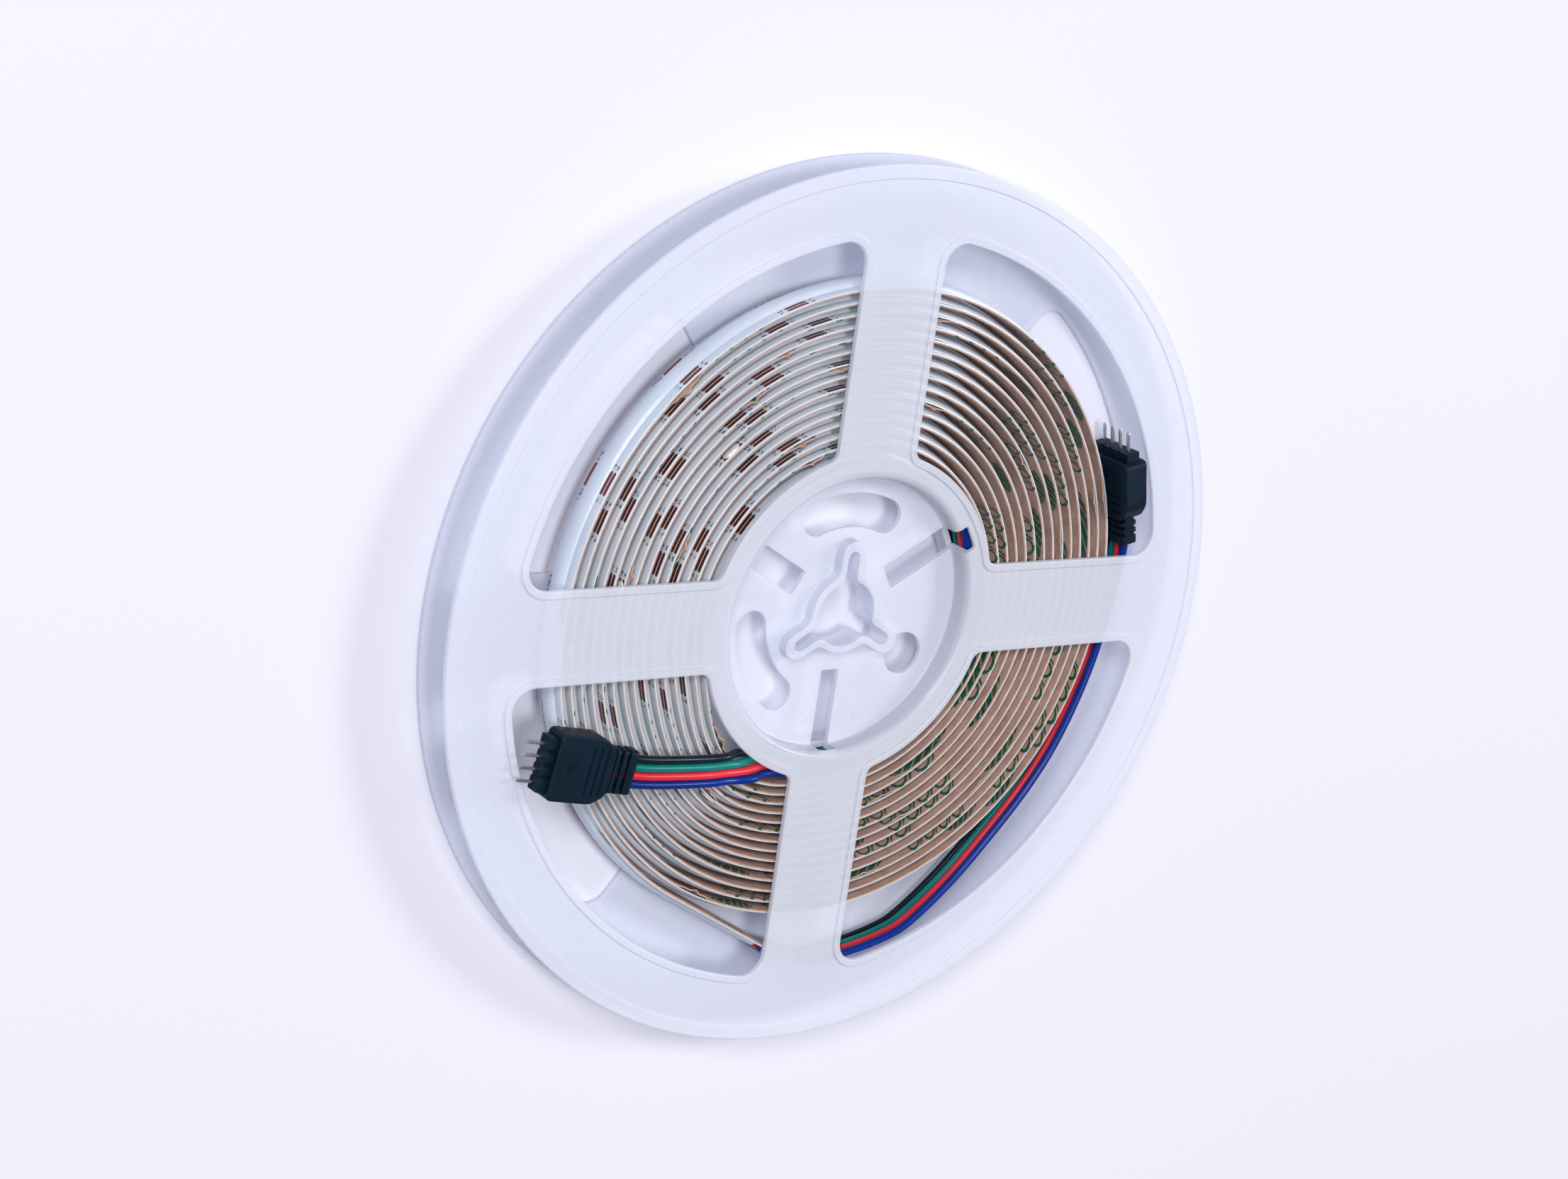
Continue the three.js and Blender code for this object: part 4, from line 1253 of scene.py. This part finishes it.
def pins_mesh():
    shell = Shell()
    seat = HOUSING_FRONT + HEADER_EXPOSED - 0.2
    tip = HOUSING_FRONT + HEADER_EXPOSED + PIN_EXPOSED
    small = 0.02 - PIN_SIDE / 2
    path = [(small, seat), (0, seat), (0, tip - 0.6), (-0.16, tip), (small, tip)]
    for order in range(4):
        center = ((order - MIDDLE_OF_WIRES) * PIN_SPACING, 0)
        outline = box_outline(PIN_SIDE, PIN_SIDE, 0.14, center)

        def section(grow, outline=outline):
            return grown(outline, grow) if grow > -0.2 else scaled(outline, 0.25)

        low, high = shell.sweep(section, path)
        shell.cap(low)
        shell.cap(high)
    return upended(shell).mesh("pins")


HOUSING = combined(housing_body(), relief_parts(), "UNION")
HOUSING = combined(HOUSING, housing_cutters(), "DIFFERENCE")
HEADER = header_mesh()
PINS = pins_mesh()


def placed(mesh, name, place):
    made = mesh.copy()
    made.name = name
    in_metres = place.copy()
    in_metres.translation = in_metres.translation * MM
    made.transform(in_metres)
    return made


def add_connector(side, place):
    """Adds a connector's housing, pin header and pins. Gives the housing."""

    def add(ending, mesh, material, slot, nodes, flat_faces):
        name = side + ending
        return add_piece(name, placed(mesh, name, place), material, slot, nodes, 35, flat_faces)

    pins = [f"{side}_pin_{i + 1}" for i in range(4)]
    black = (BLACK, "connector_black")
    housing = add("_connector", HOUSING, *black, [side + "_connector_housing"], True)
    add("_header", HEADER, *black, [side + "_pin_header"], True)
    add("_pins", PINS, PIN_METAL, "pin_metal", pins, False)
    return housing


# The outer lead and connector

outer_pin_angle = OUTER_CONNECTOR_ANGLE + 90
edge_place, edge_normal = coil_place(LAST_TURN + OUTER_CONNECTOR_ANGLE)
edge_radius = edge_place.dot(edge_normal) + STRIP_DEPTH
outer_connector = polar(edge_radius + OUTER_CONNECTOR_FROM_COIL, OUTER_CONNECTOR_ANGLE)
outer_connector += polar(OUTER_CONNECTOR_ALONG, outer_pin_angle)
outer_place = Matrix.Translation((*outer_connector, OUTER_CONNECTOR_HEIGHT))
outer_place = outer_place @ Matrix.Rotation(math.radians(outer_pin_angle), 4, "Z")
outer_place = outer_place @ Matrix.Rotation(math.pi / 2, 4, "X")
outer_housing = add_connector("outer", outer_place)


def outwards_of_coil(degrees, gap):
    place, normal = coil_place(LAST_TURN - 360 + degrees)
    return place + normal * (STRIP_DEPTH + gap)


start, degrees, stations = sleeve_stations(PATH.places[-1], END_ANGLE + 90, OUTER_SLEEVE_TURN)
add_sleeve("outer_film", start, degrees, "outer_sleeve")
stations += [stacked(outwards_of_coil(*spot)) for spot in OUTER_LEAD_ROUTE]
end_height = min(OUTER_CONNECTOR_HEIGHT, UNDER_FRONT - MIDDLE_OF_WIRES * WIRE_PITCH)
straight = polar(1, outer_pin_angle)
stations += [
    stacked(outer_connector + straight * (CABLE_FACE - OUTER_LEAD_STRAIGHT), end_height),
    stacked(outer_connector + straight * (CABLE_FACE + 1), OUTER_CONNECTOR_HEIGHT),
    stacked(outer_connector + straight * -HOUSING_FRONT, OUTER_CONNECTOR_HEIGHT),
]
add_lead("outer", stations)

# The inner lead and connector

inner_place = Matrix.Translation((*INNER_CONNECTOR, INNER_CONNECTOR_HEIGHT))
inner_place = inner_place @ Matrix.Rotation(math.radians(INNER_CONNECTOR_ANGLE), 4, "Z")
inner_housing = add_connector("inner", inner_place)

start, degrees, stations = sleeve_stations(PATH.places[0], START_ANGLE - 90, -INNER_SLEEVE_TURN)
add_sleeve("inner_film", start, degrees, "inner_sleeve")
stations += [stacked(polar(LEAD_HUB_RADIUS, angle)) for angle in INNER_LEAD_ON_HUB]
for angle, outwards, twist, rise in INNER_LEAD_CLIMB:
    place = polar(LEAD_HUB_RADIUS + outwards, angle)
    stations.append(station(place, twist, STRIP_TOP + rise, limited=True))
straight = polar(1, INNER_CONNECTOR_ANGLE)
for distance in (CABLE_FACE - INNER_LEAD_STRAIGHT, CABLE_FACE + 1, -HOUSING_FRONT):
    place = INNER_CONNECTOR + straight * distance
    across = polar(1, INNER_CONNECTOR_ANGLE - 90)
    stations.append(station(place, 0, INNER_CONNECTOR_HEIGHT, across))
add_lead("inner", stations)


# Room, light and camera


def add_floor():
    g = Graph("floor")
    colour = g.blend(g.noise(2, 1.0), srgb(230, 229, 242), srgb(232, 231, 243))
    mesh = bpy.data.meshes.new("floor")
    corners = [(-1, -1), (1, -1), (1, 1), (-1, 1)]
    points = [(x * FLOOR_HALF_WIDTH, y * FLOOR_HALF_WIDTH, FLOOR_HEIGHT) for x, y in corners]
    mesh.from_pydata(points, [], [(0, 1, 2, 3)])
    mesh.materials.append(g.finish(g.principled(Base_Color=colour, Roughness=0.7)))
    loose(mesh)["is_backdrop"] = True


def add_light(name, place, size, power):
    data = bpy.data.lights.new(name, "AREA")
    data.shape = "DISK"
    data.size = size
    data.energy = power
    lamp = bpy.data.objects.new(name, data)
    lamp.location = place
    lamp.rotation_euler = (-Vector(place)).to_track_quat("-Z", "Y").to_euler()
    bpy.context.scene.collection.objects.link(lamp)


def add_world():
    world = bpy.data.worlds.new("room")
    world.use_nodes = True
    shade = world.node_tree.nodes["Background"]
    shade.inputs["Color"].default_value = srgb(246, 247, 252)
    shade.inputs["Strength"].default_value = WORLD_STRENGTH
    bpy.context.scene.world = world


def add_camera():
    data = bpy.data.cameras.new("camera")
    data.sensor_width = CAMERA_SENSOR
    data.lens = CAMERA_LENS
    camera = bpy.data.objects.new("camera", data)
    axes = (CAMERA_RIGHT, CAMERA_UP, CAMERA_RIGHT.cross(CAMERA_UP))
    place = Matrix(axes).transposed().to_4x4()
    place.translation = CAMERA_PLACE
    camera.matrix_world = place
    bpy.context.scene.collection.objects.link(camera)
    bpy.context.scene.camera = camera


add_floor()
add_world()
for lamp in LAMPS:
    add_light(*lamp)
add_camera()
bpy.context.scene.view_settings.view_transform = "Standard"

boxes = {"cad": cad_box, "visual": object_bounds()}
{name: [list(corner) for corner in box] for name, box in boxes.items()}
